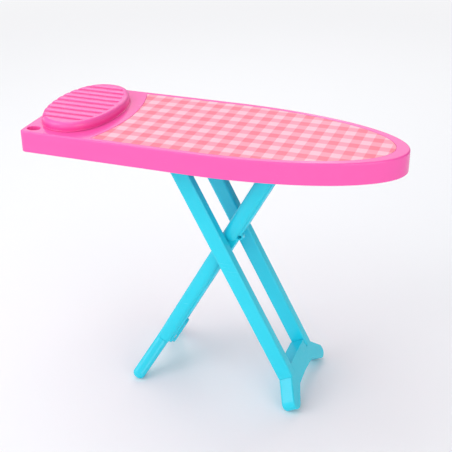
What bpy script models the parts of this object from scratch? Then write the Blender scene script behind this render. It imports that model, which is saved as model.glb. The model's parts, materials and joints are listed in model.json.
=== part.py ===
"""Toy ironing board: a pink moulded board on two crossing turquoise leg frames that fold under it.

Lengths are in metres and angles in radians. +Z is up and the floor is z = 0. X runs along the board,
from its square end to its nose, and the board is centred on x = 0. "Front" names the -Y side.
"""

import math

import bmesh
import bpy
from mathutils import Matrix, Vector

MM = 0.001

# Board
BOARD_LENGTH = 379 * MM
BOARD_WIDTH = 148.6 * MM
BOARD_HEIGHT = 293.7 * MM        # floor to the ironing face
SKIRT_DEPTH = 22.4 * MM
BOARD_WALL = 2.6 * MM
CORNER_RADIUS = 5.5 * MM         # the two corners of the square end
NOSE_LENGTH = 198 * MM           # half ellipse at the pointed end
EDGE_ROUND = 1.8 * MM
RECESS_DEPTH = 0.8 * MM

# Hanging hole, measured from the square end and the front edge
HOLE_LENGTH = 14 * MM
HOLE_WIDTH = 11 * MM
HOLE_FROM_END = 10.8 * MM
HOLE_FROM_FRONT = 11.6 * MM
COLLAR_WALL = 1.8 * MM
COLLAR_DEPTH = 9 * MM

# Printed cover sheet
SHEET_SIDE_BORDER = 5.8 * MM
SHEET_NOSE_BORDER = 13.4 * MM
SHEET_FROM_END = 90 * MM         # middle of its curved end edge
SHEET_END_RADIUS = 190 * MM
SHEET_THICKNESS = 0.5 * MM

# Iron rest
REST_LENGTH = 75.5 * MM          # along X
REST_WIDTH = 126 * MM            # along Y
REST_FROM_END = 1.2 * MM
REST_FULLNESS = 2.2              # 2 is an ellipse, more is squarer
REST_HEIGHT = 9.5 * MM
REST_WALL = 2.4 * MM
REST_SHOULDER = 4.5 * MM
GROOVE_PITCH = 11.85 * MM
GROOVE_COUNT = 9
GROOVE_RADIUS = 2.2 * MM
GROOVE_DEPTH = 1.5 * MM
REST_BAND = 8 * MM               # smooth band past the grooves' ends
REST_SCREW_SPACING = 42 * MM

# Leg frames: where they cross, and how steeply they stand
PIVOT_FROM_END = 199.3 * MM
SLOT_FROM_END = 12.525 * MM      # end of the slide rod's slot, where it stands when folded
OUTER_LEAN = math.radians(62.36)
INNER_LEAN = math.radians(61.17)
HINGE_DROP = 16.5 * MM           # ironing face to the hinge axis
OUTER_LEG_DEPTH = 17.4 * MM
OUTER_LEG_WIDTH = 11.4 * MM
OUTER_INSIDE = 25.6 * MM         # y of the outer legs' inner faces
INNER_LEG_DEPTH = 17.5 * MM
INNER_LEG_WIDTH = 12.9 * MM
INNER_INSIDE = 12 * MM
INNER_CORE_WIDTH = 9 * MM        # thickness at the neck, where the frames cross
NECK_LENGTH = 30 * MM
BULGE_ROUND = 5 * MM             # corners of the swells' ends at the neck
SWELL_ROUND_SHARE = 0.95         # how much of a swell's height its rounding takes
LEG_EDGE = 1.8 * MM

# Foot bars
OUTER_STEP_HEIGHT = 33.5 * MM    # up the slope, from the floor line to the leg's end
OUTER_BAR_TOP = 43 * MM
OUTER_BAR_UNDER = 17 * MM
OUTER_TOE_RADIUS = 8 * MM
OUTER_TOE_REACH = 49.5 * MM      # y of the toe's round end
OUTER_BAR_DEPTH = 15 * MM
INNER_STEP_HEIGHT = 44.5 * MM
INNER_BAR_TOP = 70 * MM
INNER_BAR_UNDER = 32 * MM
INNER_TOE_RADIUS = 6.8 * MM
INNER_TOE_REACH = 47 * MM
INNER_BAR_DEPTH = 14 * MM
FOOT_FLAT = 0.5 * MM             # how deep each toe is cut flat at the floor
BAR_ARCH = 1.5 * MM              # rise of the crosspiece's lower edge at its middle
TENON_LENGTH = 16 * MM           # peg of a foot bar, inside its leg
TENON_WALL = 2.2 * MM

# Pivot, rods and their seats
ROD_RADIUS = 3 * MM
PIN_RADIUS = 3.2 * MM
PIN_HEAD_RADIUS = 5.4 * MM
PIN_HEAD_THICKNESS = 2.2 * MM
PIN_DEPTH = 7 * MM               # into the outer leg
BUSH_RADIUS = 6.4 * MM
RAIL_INSIDE = 39.5 * MM
RAIL_WIDTH = 8 * MM
RAIL_END_WALL = 4 * MM
RAIL_LIP = 2.6 * MM
CAP_RADIUS = 4.2 * MM            # small enough to pass under the rail's tabs
CAP_THICKNESS = 2 * MM
BRACKET_WIDTH = 7 * MM
BRACKET_LENGTH = 13 * MM
BRACKET_WALL = 2.4 * MM

# Screws and the bosses that take them
BOSS_RADIUS = 4 * MM
BOSS_LENGTH = 4.3 * MM
TAB_THICKNESS = 2.2 * MM
TAB_LENGTH = 9 * MM
SCREW_RADIUS = 1.1 * MM
SCREW_LENGTH = 6.5 * MM          # under the head
HEAD_RADIUS = 2.5 * MM
HEAD_THICKNESS = 1.5 * MM
HEAD_TOP_SHARE = 0.7             # flat top of a screw's head, by its radius
SCREW_POINT_SHARE = 0.4          # blunt point of a screw, by its radius
SCREW_SINK = 1.7 * MM            # how deep a leg's screw is sunk

GAP = 0.3 * MM                   # between pieces that touch
SMALLEST_CORNER = 0.5 * MM       # what is left of a corner that is drawn in
NOSE_SEGMENTS = 40
OVAL_SEGMENTS = 48
ROUND_SEGMENTS = 24
HOLE_SEGMENTS = 20
TOE_SEGMENTS = 14
SMALL_SEGMENTS = 12
CORNER_SEGMENTS = 5
EDGE_SEGMENTS = 3
SHARP_ANGLE = math.radians(40)   # edges sharper than this are rounded and shaded as edges

# Colours of the finished mouldings: red, green, blue, roughness, metallic
PINK = (0.955, 0.141, 0.485, 0.28, 0.0)
TURQUOISE = (0.034, 0.604, 0.760, 0.3, 0.0)
CHECK_PINK = (0.90, 0.36, 0.42, 0.45, 0.0)
STEEL = (0.62, 0.62, 0.64, 0.35, 1.0)



def from_end(distance):
    """World x of a point that lies this far from the board's square end."""
    return distance - BOARD_LENGTH / 2


# Derived places
HALF_WIDTH = BOARD_WIDTH / 2
CEILING = BOARD_HEIGHT - BOARD_WALL
SKIRT_BOTTOM = BOARD_HEIGHT - SKIRT_DEPTH
PIVOT_X = from_end(PIVOT_FROM_END)
HINGE_HEIGHT = BOARD_HEIGHT - HINGE_DROP
SLOT_START = from_end(SLOT_FROM_END)
FOLDED_ROD_X = SLOT_START + GAP + ROD_RADIUS
# Pivot to hinge, and pivot to rod: folded, both lie flat, one after the other
ARM = (PIVOT_X - FOLDED_ROD_X) / (2 - math.cos(INNER_LEAN))
PIVOT_HEIGHT = HINGE_HEIGHT - ARM * math.sin(INNER_LEAN)
HINGE_X = PIVOT_X + ARM * math.cos(INNER_LEAN)
ROD_X = PIVOT_X - ARM * math.cos(OUTER_LEAN)
ROD_HEIGHT = PIVOT_HEIGHT + ARM * math.sin(OUTER_LEAN)
FOLDED_ROD_HEIGHT = HINGE_HEIGHT + ARM * math.sin(OUTER_LEAN - INNER_LEAN)
OUTER_FLOOR = PIVOT_HEIGHT / math.sin(OUTER_LEAN)      # pivot to the floor, down the slope
INNER_FLOOR = HINGE_HEIGHT / math.sin(INNER_LEAN)      # hinge to the floor, down the slope
OUTER_OUTSIDE = OUTER_INSIDE + OUTER_LEG_WIDTH
INNER_OUTSIDE = INNER_INSIDE + INNER_LEG_WIDTH
NECK_FACE = INNER_INSIDE + INNER_CORE_WIDTH
BOSS_END = CEILING - BOSS_LENGTH
TAB_TOP = BOSS_END - GAP
SIDES = {"front": -1, "back": 1}


def clear_scene():
    for old in list(bpy.data.objects):
        bpy.data.objects.remove(old, do_unlink=True)


def material(name, finish):
    """A plain Principled finish: colour, roughness and metallic."""
    found = bpy.data.materials.get(name)
    if found:
        return found
    made = bpy.data.materials.new(name)
    made.use_nodes = True
    shader = made.node_tree.nodes["Principled BSDF"]
    shader.inputs["Base Color"].default_value = (*finish[:3], 1.0)
    shader.inputs["Roughness"].default_value = finish[3]
    shader.inputs["Metallic"].default_value = finish[4]
    made.diffuse_color = (*finish[:3], 1.0)
    return made


def add_object(name, mesh_data, finish, parent=None, location=(0, 0, 0)):
    """Links a mesh as one named piece with its own material."""
    bmesh.ops.recalc_face_normals(mesh_data, faces=mesh_data.faces)
    mesh = bpy.data.meshes.new(name)
    mesh_data.to_mesh(mesh)
    mesh_data.free()
    mesh.shade_smooth()
    mesh.set_sharp_from_angle(angle=SHARP_ANGLE)
    obj = bpy.data.objects.new(name, mesh)
    bpy.context.scene.collection.objects.link(obj)
    obj.location = location
    obj.parent = parent
    if finish:
        mesh.materials.append(material(name, finish))
    return obj


def add_helper(name, mesh_data, parent=None, location=(0, 0, 0)):
    """A shape that only cuts or joins: it is never part of the board."""
    obj = add_object(name, mesh_data, None, parent, location)
    obj.hide_render = True
    obj.display_type = "WIRE"
    return obj


def combine(obj, other, operation):
    step = obj.modifiers.new(f"{operation.lower()} {other.name}", "BOOLEAN")
    step.operation = operation
    step.object = other


def bevel(obj, width, segments=2):
    """Rounds an object's sharp outward edges; inward corners stay sharp for what seats in them."""
    bm = bmesh.new()
    bm.from_mesh(obj.data)
    weight = bm.edges.layers.float.new("bevel_weight_edge")
    for edge in bm.edges:
        edge[weight] = float(edge.is_convex and edge.calc_face_angle() > SHARP_ANGLE)
    bm.to_mesh(obj.data)
    bm.free()
    step = obj.modifiers.new("edges", "BEVEL")
    step.width = width
    step.segments = segments
    step.limit_method = "WEIGHT"


def add_axis(name, location, turn, parent=None):
    """An empty on a joint's axis; its X runs down the frame's slope and its Y is the axis."""
    empty = bpy.data.objects.new(name, None)
    empty.empty_display_size = 20 * MM
    bpy.context.scene.collection.objects.link(empty)
    world = Matrix.Translation(location) @ Matrix.Rotation(turn, 4, "Y")
    empty.parent = parent
    bpy.context.view_layer.update()
    empty.matrix_world = world
    bpy.context.view_layer.update()
    return empty


def arc(centre, radius, start, end, segments):
    """Points of a circular arc in the plane, ends included; angles in degrees."""
    steps = [math.radians(start + (end - start) * i / segments) for i in range(segments + 1)]
    return [(centre[0] + radius * math.cos(a), centre[1] + radius * math.sin(a)) for a in steps]


def circle(centre, radius, segments):
    return arc(centre, radius, 0, 360, segments)[:-1]


def ring(bm, points, height):
    return [bm.verts.new((x, y, height)) for x, y in points]


def bridge(bm, lower, upper):
    """Side faces between two rings of the same count."""
    count = len(lower)
    for i in range(count):
        j = (i + 1) % count
        bm.faces.new((lower[i], lower[j], upper[j], upper[i]))


def stack(outlines, heights):
    """A closed solid through a stack of like outlines, capped at both ends."""
    bm = bmesh.new()
    rings = [ring(bm, points, height) for points, height in zip(outlines, heights)]
    for lower, upper in zip(rings, rings[1:]):
        bridge(bm, lower, upper)
    bm.faces.new(rings[0])
    bm.faces.new(rings[-1])
    return bm


def prism(points, low, high, plane="XY"):
    """An outline pushed from low to high along the axis that its plane lacks."""
    bm = stack([points, points], [low, high])
    if plane == "XZ":
        turn = Matrix(((1, 0, 0), (0, 0, 1), (0, 1, 0)))
        bmesh.ops.transform(bm, matrix=turn.to_4x4(), verts=bm.verts)
    if plane == "YZ":
        turn = Matrix(((0, 0, 1), (1, 0, 0), (0, 1, 0)))
        bmesh.ops.transform(bm, matrix=turn.to_4x4(), verts=bm.verts)
    return bm


def block(low, high):
    """A box between two opposite corners."""
    points = [(low[0], low[1]), (high[0], low[1]), (high[0], high[1]), (low[0], high[1])]
    return prism(points, low[2], high[2])


def merged(parts):
    """Several meshes as one."""
    bm = bmesh.new()
    for part in parts:
        mesh = bpy.data.meshes.new("part")
        part.to_mesh(mesh)
        part.free()
        bm.from_mesh(mesh)
        bpy.data.meshes.remove(mesh)
    return bm


def nose_points(half, reach):
    """The half ellipse of the nose, from the front side to the back side."""
    nose_x = from_end(BOARD_LENGTH - NOSE_LENGTH)
    turns = [math.radians(-90 + 180 * i / NOSE_SEGMENTS) for i in range(NOSE_SEGMENTS + 1)]
    return [(nose_x + reach * math.cos(a), half * math.sin(a)) for a in turns]


def quarter(segments=EDGE_SEGMENTS):
    """Angles of a quarter round, from its side to its top."""
    return [math.radians(90 * i / segments) for i in range(segments + 1)]


def board_outline(inset):
    """Plan outline of the board, drawn in from its edge."""
    half = HALF_WIDTH - inset
    radius = max(CORNER_RADIUS - inset, SMALLEST_CORNER)
    end = from_end(0) + inset
    points = arc((end + radius, -half + radius), radius, 180, 270, CORNER_SEGMENTS)
    points += nose_points(half, NOSE_LENGTH - inset)
    points += arc((end + radius, half - radius), radius, 90, 180, CORNER_SEGMENTS)
    return points


def sheet_outline(inset):
    """Straight sides and an elliptical nose inside the board's edge, and a bowed end edge."""
    half = HALF_WIDTH - SHEET_SIDE_BORDER - inset
    points = nose_points(half, NOSE_LENGTH - SHEET_NOSE_BORDER - inset)
    centre = from_end(SHEET_FROM_END) - SHEET_END_RADIUS
    radius = SHEET_END_RADIUS + inset
    bow = math.degrees(math.asin(half / radius))
    points += arc((centre, 0), radius, bow, -bow, SMALL_SEGMENTS)
    return points


def swung(value, power):
    """A cosine or sine raised to a power, with its sign kept."""
    return math.copysign(abs(value) ** power, value)


def ellipse(centre, half_x, half_y, segments=OVAL_SEGMENTS, fullness=2):
    """An ellipse, or a squarer oval where fullness is over 2."""
    steps = [2 * math.pi * (i + 0.5) / segments for i in range(segments)]
    return [(centre[0] + half_x * swung(math.cos(a), 2 / fullness),
             centre[1] + half_y * swung(math.sin(a), 2 / fullness)) for a in steps]


def rest_outline(inset):
    half_x = REST_LENGTH / 2 - inset
    half_y = REST_WIDTH / 2 - inset
    return ellipse(REST_CENTRE, half_x, half_y, OVAL_SEGMENTS, REST_FULLNESS)


REST_CENTRE = (from_end(REST_FROM_END + REST_LENGTH / 2), 0)
REST_SCREWS = [(REST_CENTRE[0] + side * REST_SCREW_SPACING / 2, 0) for side in (-1, 1)]
HOLE_CENTRE = (from_end(HOLE_FROM_END), -HALF_WIDTH + HOLE_FROM_FRONT)
SLOT_END = ROD_X + ROD_RADIUS + GAP
CAP_FACE = RAIL_INSIDE + RAIL_WIDTH + GAP
RAIL_TAB_Y = CAP_FACE + CAP_THICKNESS + 2 * GAP + HEAD_RADIUS      # the cap slides past the heads
RAIL_TABS_X = [SLOT_START + TAB_LENGTH, SLOT_END - TAB_LENGTH]
BRACKET_INSIDE = INNER_OUTSIDE + 2 * GAP
BRACKET_Y = BRACKET_INSIDE + BRACKET_WIDTH / 2
BRACKET_TABS_X = [HINGE_X + side * (BRACKET_LENGTH + TAB_LENGTH) / 2 for side in (-1, 1)]


def boss_places():
    """Plan places of the bosses under the board's face."""
    for side in SIDES.values():
        for x in RAIL_TABS_X:
            yield (x, side * RAIL_TAB_Y)
        for x in BRACKET_TABS_X:
            yield (x, side * BRACKET_Y)


def make_board():
    """One moulding: face, skirt, bosses and the collar of the hanging hole."""
    outlines = [board_outline(BOARD_WALL), board_outline(BOARD_WALL)]
    heights = [CEILING, SKIRT_BOTTOM]
    outlines.append(board_outline(0))
    heights.append(SKIRT_BOTTOM)
    outlines += [board_outline(EDGE_ROUND * (1 - math.cos(a))) for a in quarter()]
    heights += [BOARD_HEIGHT - EDGE_ROUND * (1 - math.sin(a)) for a in quarter()]
    board = add_object("board_shell", stack(outlines, heights), PINK)

    sunk = CEILING + BOARD_WALL / 2
    bosses = [prism(circle(place, BOSS_RADIUS, SMALL_SEGMENTS), BOSS_END, sunk)
              for place in boss_places()]
    collar_x = HOLE_LENGTH / 2 + COLLAR_WALL
    collar_y = HOLE_WIDTH / 2 + COLLAR_WALL
    collar = ellipse(HOLE_CENTRE, collar_x, collar_y, HOLE_SEGMENTS)
    bosses.append(prism(collar, CEILING - COLLAR_DEPTH, sunk))
    combine(board, add_helper("board_additions", merged(bosses)), "UNION")

    pilot = SCREW_RADIUS + GAP / 2
    deep = TAB_TOP - TAB_THICKNESS + SCREW_LENGTH + GAP
    cuts = [prism(circle(place, pilot, SMALL_SEGMENTS), BOSS_END - BOSS_RADIUS, deep)
            for place in boss_places()]
    loose = SCREW_RADIUS + GAP
    cuts += [prism(circle(place, loose, SMALL_SEGMENTS), CEILING - GAP, BOARD_HEIGHT + GAP)
             for place in REST_SCREWS]
    hole = ellipse(HOLE_CENTRE, HOLE_LENGTH / 2, HOLE_WIDTH / 2, HOLE_SEGMENTS)
    cuts.append(prism(hole, CEILING - 2 * COLLAR_DEPTH, BOARD_HEIGHT + BOARD_WALL))
    cuts.append(prism(sheet_outline(0), BOARD_HEIGHT - RECESS_DEPTH, BOARD_HEIGHT + BOARD_WALL))
    combine(board, add_helper("board_cuts", merged(cuts)), "DIFFERENCE")


def make_sheet():
    """Thin printed sheet that lies in the board's recess."""
    base = BOARD_HEIGHT - RECESS_DEPTH + GAP
    add_object("cover_sheet", prism(sheet_outline(GAP), base, base + SHEET_THICKNESS), CHECK_PINK)


def make_rest():
    """Hollow oval rest with grooves along X, which end before its rounded shoulder."""
    base = BOARD_HEIGHT + GAP
    top = BOARD_HEIGHT + REST_HEIGHT
    arcs = quarter(CORNER_SEGMENTS - 1)
    outlines = [rest_outline(REST_WALL), rest_outline(REST_WALL), rest_outline(0)]
    heights = [top - GROOVE_DEPTH - REST_WALL, base, base]
    outlines += [rest_outline(REST_SHOULDER * (1 - math.cos(a))) for a in arcs]
    heights += [top - REST_SHOULDER * (1 - math.sin(a)) for a in arcs]
    rest = add_object("iron_rest", stack(outlines, heights), PINK)

    post_top = top - GROOVE_DEPTH - REST_WALL / 2
    posts = [prism(circle(place, BOSS_RADIUS, SMALL_SEGMENTS), base, post_top)
             for place in REST_SCREWS]
    combine(rest, add_helper("rest_posts", merged(posts)), "UNION")

    reach = CEILING - GAP + SCREW_LENGTH + GAP
    cuts = [prism(circle(place, SCREW_RADIUS + GAP / 2, SMALL_SEGMENTS), base - GAP, reach)
            for place in REST_SCREWS]
    for i in range(GROOVE_COUNT):
        y = (i - (GROOVE_COUNT - 1) / 2) * GROOVE_PITCH
        share = abs(y) / (REST_WIDTH / 2 - REST_BAND / 2)
        stretch = (1 - share ** REST_FULLNESS) ** (1 / REST_FULLNESS)
        low = REST_CENTRE[0] - REST_LENGTH / 2 - GROOVE_RADIUS
        high = REST_CENTRE[0] + (REST_LENGTH / 2 - REST_BAND) * stretch
        lift = top - GROOVE_DEPTH + GROOVE_RADIUS
        cuts.append(prism(circle((y, lift), GROOVE_RADIUS, SMALL_SEGMENTS), low, high, "YZ"))
    combine(rest, add_helper("rest_cuts", merged(cuts)), "DIFFERENCE")


def make_rail(side_name, side):
    """Slotted rail under the board, in which one end of the slide rod runs."""
    near = side * RAIL_INSIDE
    far = side * (RAIL_INSIDE + RAIL_WIDTH)
    low_x = SLOT_START - RAIL_END_WALL
    high_x = SLOT_END + RAIL_END_WALL
    bottom = ROD_HEIGHT - ROD_RADIUS - GAP - RAIL_LIP
    parts = block((low_x, min(near, far), bottom), (high_x, max(near, far), CEILING - GAP))
    rail = add_object(f"slide_rail_{side_name}", parts, PINK)

    tabs = []
    inner = side * (RAIL_INSIDE + RAIL_WIDTH / 2)
    outer = side * (RAIL_TAB_Y + TAB_LENGTH / 2)
    for x in RAIL_TABS_X:
        low = (x - TAB_LENGTH / 2, min(inner, outer), TAB_TOP - TAB_THICKNESS)
        high = (x + TAB_LENGTH / 2, max(inner, outer), TAB_TOP)
        tabs.append(block(low, high))
    combine(rail, add_helper(f"rail_tabs_{side_name}", merged(tabs)), "UNION")

    slot_low = ROD_HEIGHT - ROD_RADIUS - GAP
    slot_high = FOLDED_ROD_HEIGHT + ROD_RADIUS + GAP
    low = (SLOT_START, min(near, far) - GAP, slot_low)
    high = (SLOT_END, max(near, far) + GAP, slot_high)
    cuts = [block(low, high)]
    cuts += [prism(circle((x, side * RAIL_TAB_Y), SCREW_RADIUS + GAP, SMALL_SEGMENTS),
                   TAB_TOP - 2 * TAB_THICKNESS, TAB_TOP + GAP) for x in RAIL_TABS_X]
    combine(rail, add_helper(f"rail_cuts_{side_name}", merged(cuts)), "DIFFERENCE")


def make_bracket(side_name, side):
    """Bracket under the board with a blind bore for one end of the hinge rod."""
    near = side * BRACKET_INSIDE
    far = side * (BRACKET_INSIDE + BRACKET_WIDTH)
    half = BRACKET_LENGTH / 2
    bottom = HINGE_HEIGHT - ROD_RADIUS - GAP - BRACKET_WALL
    y_low, y_high = sorted((near, far))
    body = block((HINGE_X - half, y_low, bottom), (HINGE_X + half, y_high, CEILING - GAP))
    bracket = add_object(f"hinge_bracket_{side_name}", body, PINK)
    bar_low = (BRACKET_TABS_X[0] - TAB_LENGTH / 2, y_low, TAB_TOP - TAB_THICKNESS)
    bar_high = (BRACKET_TABS_X[1] + TAB_LENGTH / 2, y_high, TAB_TOP)
    combine(bracket, add_helper(f"bracket_tabs_{side_name}", block(bar_low, bar_high)), "UNION")

    mouth = side * (BRACKET_INSIDE - GAP)
    blind = side * (BRACKET_INSIDE + BRACKET_WIDTH - BRACKET_WALL)
    bore = circle((HINGE_X, HINGE_HEIGHT), ROD_RADIUS + GAP, ROUND_SEGMENTS)
    cuts = [prism(bore, min(mouth, blind), max(mouth, blind), "XZ")]
    cuts += [prism(circle((x, side * BRACKET_Y), SCREW_RADIUS + GAP, SMALL_SEGMENTS),
                   TAB_TOP - 2 * TAB_THICKNESS, TAB_TOP + GAP) for x in BRACKET_TABS_X]
    combine(bracket, add_helper(f"bracket_cuts_{side_name}", merged(cuts)), "DIFFERENCE")


def make_screw(name, place, direction=(0, 0, 1), parent=None):
    """A pan-head screw; place is the seat under its head, and direction is where its point goes."""
    head = [(HEAD_RADIUS * HEAD_TOP_SHARE, -HEAD_THICKNESS), (HEAD_RADIUS, -HEAD_THICKNESS / 2),
            (HEAD_RADIUS, 0)]
    shank = [(SCREW_RADIUS, 0), (SCREW_RADIUS, SCREW_LENGTH - SCREW_RADIUS),
             (SCREW_RADIUS * SCREW_POINT_SHARE, SCREW_LENGTH)]
    profile = head + shank
    outlines = [circle((0, 0), radius, SMALL_SEGMENTS) for radius, _ in profile]
    body = stack(outlines, [height for _, height in profile])
    screw = add_object(name, body, STEEL, parent, place)
    screw.rotation_mode = "QUATERNION"
    screw.rotation_quaternion = Vector((0, 0, 1)).rotation_difference(Vector(direction))


def make_under_board_screws():
    for side_name, side in SIDES.items():
        for i, x in enumerate(RAIL_TABS_X, 1):
            place = (x, side * RAIL_TAB_Y, TAB_TOP - TAB_THICKNESS - GAP)
            make_screw(f"rail_screw_{side_name}_{i}", place)
        for i, x in enumerate(BRACKET_TABS_X, 1):
            place = (x, side * BRACKET_Y, TAB_TOP - TAB_THICKNESS - GAP)
            make_screw(f"bracket_screw_{side_name}_{i}", place)
    for i, (x, y) in enumerate(REST_SCREWS, 1):
        make_screw(f"rest_screw_{i}", (x, y, CEILING - GAP))


def make_rod(name, half_length, parent, along):
    """A round cross rod at this distance down a frame's slope."""
    points = circle((along, 0), ROD_RADIUS, ROUND_SEGMENTS)
    return add_object(name, prism(points, -half_length, half_length, "XZ"), TURQUOISE, parent)


def rounded_bar(start, end, half_depth, start_radius, end_radius):
    """Side outline of a bar from start to end, with corner radii at each end."""
    points = arc((end - end_radius, half_depth - end_radius), end_radius, 90, 0, 4)
    points += arc((end - end_radius, -half_depth + end_radius), end_radius, 0, -90, 4)
    points += arc((start + start_radius, -half_depth + start_radius), start_radius, -90, -180, 8)
    points += arc((start + start_radius, half_depth - start_radius), start_radius, 180, 90, 8)[1:]
    return points


def mirrored_block(low, high, side):
    y_low, y_high = sorted((side * low[1], side * high[1]))
    return block((low[0], y_low, low[2]), (high[0], y_high, high[2]))


class LegEnd:
    """Where a leg meets its foot bar: the bar's peg, the leg's socket and the screw through both."""

    def __init__(self, step, inside, width, leg_depth, bar_depth, lift, face):
        self.low = (step - TENON_LENGTH, inside + TENON_WALL, lift - bar_depth / 2 + TENON_WALL)
        self.high = (step, inside + width - TENON_WALL, lift + bar_depth / 2 - TENON_WALL)
        self.step = step
        self.lift = lift
        self.bar_depth = bar_depth
        self.face = face                             # local Z side on which the screw's head lies
        self.seat = face * (leg_depth / 2 - SCREW_SINK)
        self.centre = (step - TENON_LENGTH / 2, inside + width / 2)

    def peg(self, side):
        return mirrored_block(self.low, (self.high[0] + TENON_WALL, *self.high[1:]), side)

    def socket(self, side):
        low = [value - GAP for value in self.low]
        high = [value + GAP for value in self.high]
        return mirrored_block(low, high, side)

    def drill(self, side, radii, tip):
        """A stepped cutter: radii outside the head's seat and beyond it, down to the tip."""
        place = (self.centre[0], side * self.centre[1])
        wide, narrow = [circle(place, radius, SMALL_SEGMENTS) for radius in radii]
        outside = self.seat + self.face * 2 * SCREW_SINK
        return stack([wide, wide, narrow, narrow], [outside, self.seat, self.seat, tip])

    def leg_hole(self, side):
        return self.drill(side, (HEAD_RADIUS + GAP, SCREW_RADIUS + GAP), self.lift)

    def peg_hole(self, side):
        radius = SCREW_RADIUS + GAP / 2
        return self.drill(side, (radius, radius), self.seat - self.face * (SCREW_LENGTH + GAP))

    def add_screw(self, name, side, axis):
        place = (self.centre[0], side * self.centre[1], self.seat + self.face * GAP)
        make_screw(name, place, (0, 0, -self.face), axis)


OUTER_END = LegEnd(OUTER_FLOOR - OUTER_STEP_HEIGHT, OUTER_INSIDE, OUTER_LEG_WIDTH,
                   OUTER_LEG_DEPTH, OUTER_BAR_DEPTH, 0, -1)
INNER_END = LegEnd(INNER_FLOOR - INNER_STEP_HEIGHT, INNER_INSIDE, INNER_CORE_WIDTH,
                   INNER_LEG_DEPTH, INNER_BAR_DEPTH, (INNER_BAR_DEPTH - INNER_LEG_DEPTH) / 2, 1)


def make_outer_leg(side_name, side, axis):
    """Straight leg of the outer frame, round at the slide rod and square at the foot bar."""
    half = OUTER_LEG_DEPTH / 2
    outline = rounded_bar(-ARM - half, OUTER_END.step, half, half, LEG_EDGE)
    y_low, y_high = sorted((side * OUTER_INSIDE, side * OUTER_OUTSIDE))
    leg = add_object(f"outer_leg_{side_name}", prism(outline, y_low, y_high, "XZ"), TURQUOISE, axis)
    bevel(leg, LEG_EDGE)

    bore = circle((-ARM, 0), ROD_RADIUS + GAP, ROUND_SEGMENTS)
    pin = circle((0, 0), PIN_RADIUS + GAP, ROUND_SEGMENTS)
    mouth, blind = sorted((side * (OUTER_INSIDE - GAP), side * (OUTER_INSIDE + PIN_DEPTH + GAP)))
    cuts = [prism(bore, y_low - GAP, y_high + GAP, "XZ"), prism(pin, mouth, blind, "XZ")]
    cuts.append(OUTER_END.socket(side))
    combine(leg, add_helper(f"outer_leg_cuts_{side_name}", merged(cuts), axis), "DIFFERENCE")
    hole = add_helper(f"outer_leg_hole_{side_name}", OUTER_END.leg_hole(side), axis)
    combine(leg, hole, "DIFFERENCE")
    OUTER_END.add_screw(f"outer_foot_screw_{side_name}", side, axis)


def make_inner_rail(side_name, side, axis):
    """Rail of the inner frame: a flat core with a half-round swell above and below its neck."""
    half = INNER_LEG_DEPTH / 2
    core_half = half - GAP
    step = INNER_END.step
    y_low, y_high = sorted((side * INNER_INSIDE, side * NECK_FACE))
    core = prism(rounded_bar(-core_half, step, core_half, core_half, LEG_EDGE), y_low, y_high, "XZ")
    rail = add_object(f"inner_rail_{side_name}", core, TURQUOISE, axis)
    bevel(rail, LEG_EDGE / 2)

    swells = []
    rounding = (INNER_OUTSIDE - NECK_FACE) * SWELL_ROUND_SHARE
    spans = [(-half, ARM - NECK_LENGTH / 2, half, BULGE_ROUND),
             (ARM + NECK_LENGTH / 2, step, BULGE_ROUND, LEG_EDGE)]
    for start, end, start_radius, end_radius in spans:
        outline = rounded_bar(start, end, half, start_radius, end_radius)
        y_low, y_high = sorted((side * (NECK_FACE - INNER_CORE_WIDTH / 4), side * INNER_OUTSIDE))
        swell = prism(outline, y_low, y_high, "XZ")
        bmesh.ops.recalc_face_normals(swell, faces=swell.faces)
        rim = {v for v in swell.verts if math.isclose(abs(v.co.y), INNER_OUTSIDE, rel_tol=1e-4)}
        edges = [edge for edge in swell.edges if rim.issuperset(edge.verts)]
        bmesh.ops.bevel(swell, geom=edges, offset=rounding, segments=EDGE_SEGMENTS,
                        affect="EDGES", profile=0.5)
        swells.append(swell)
    combine(rail, add_helper(f"inner_swells_{side_name}", merged(swells), axis), "UNION")

    hinge = circle((0, 0), ROD_RADIUS + GAP, ROUND_SEGMENTS)
    pin = circle((ARM, 0), PIN_RADIUS + GAP, ROUND_SEGMENTS)
    y_low, y_high = sorted((side * (INNER_INSIDE - GAP), side * (INNER_OUTSIDE + GAP)))
    cuts = [prism(hinge, y_low, y_high, "XZ"), prism(pin, y_low, y_high, "XZ")]
    cuts.append(INNER_END.socket(side))
    combine(rail, add_helper(f"inner_rail_cuts_{side_name}", merged(cuts), axis), "DIFFERENCE")
    hole = add_helper(f"inner_rail_hole_{side_name}", INNER_END.leg_hole(side), axis)
    combine(rail, hole, "DIFFERENCE")
    INNER_END.add_screw(f"inner_foot_screw_{side_name}", side, axis)


def tangent_angle(corner, centre, radius, turn):
    """Angle, seen from the circle's centre, of the point where the line from the corner touches it."""
    dx = corner[0] - centre[0]
    dy = corner[1] - centre[1]
    return math.degrees(math.atan2(dy, dx) + turn * math.acos(radius / math.hypot(dx, dy)))


def foot_bar_outline(step, top, under, inside, outside, toe, toe_radius):
    """Outline of a foot bar in the frame's plane, as (down the slope, y), both halves."""
    shoulder = (step, outside)
    crotch = (under, inside)
    start = tangent_angle(shoulder, toe, toe_radius, -1)
    end = tangent_angle(crotch, toe, toe_radius, 1) - 360
    points = [(top, 0), (top, inside - GAP), (step, inside - GAP), shoulder]
    points += arc(toe, toe_radius, start, end, TOE_SEGMENTS)
    points += [crotch, (under - BAR_ARCH, 0)]
    return points + [(x, -y) for x, y in reversed(points[1:-1])]


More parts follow.
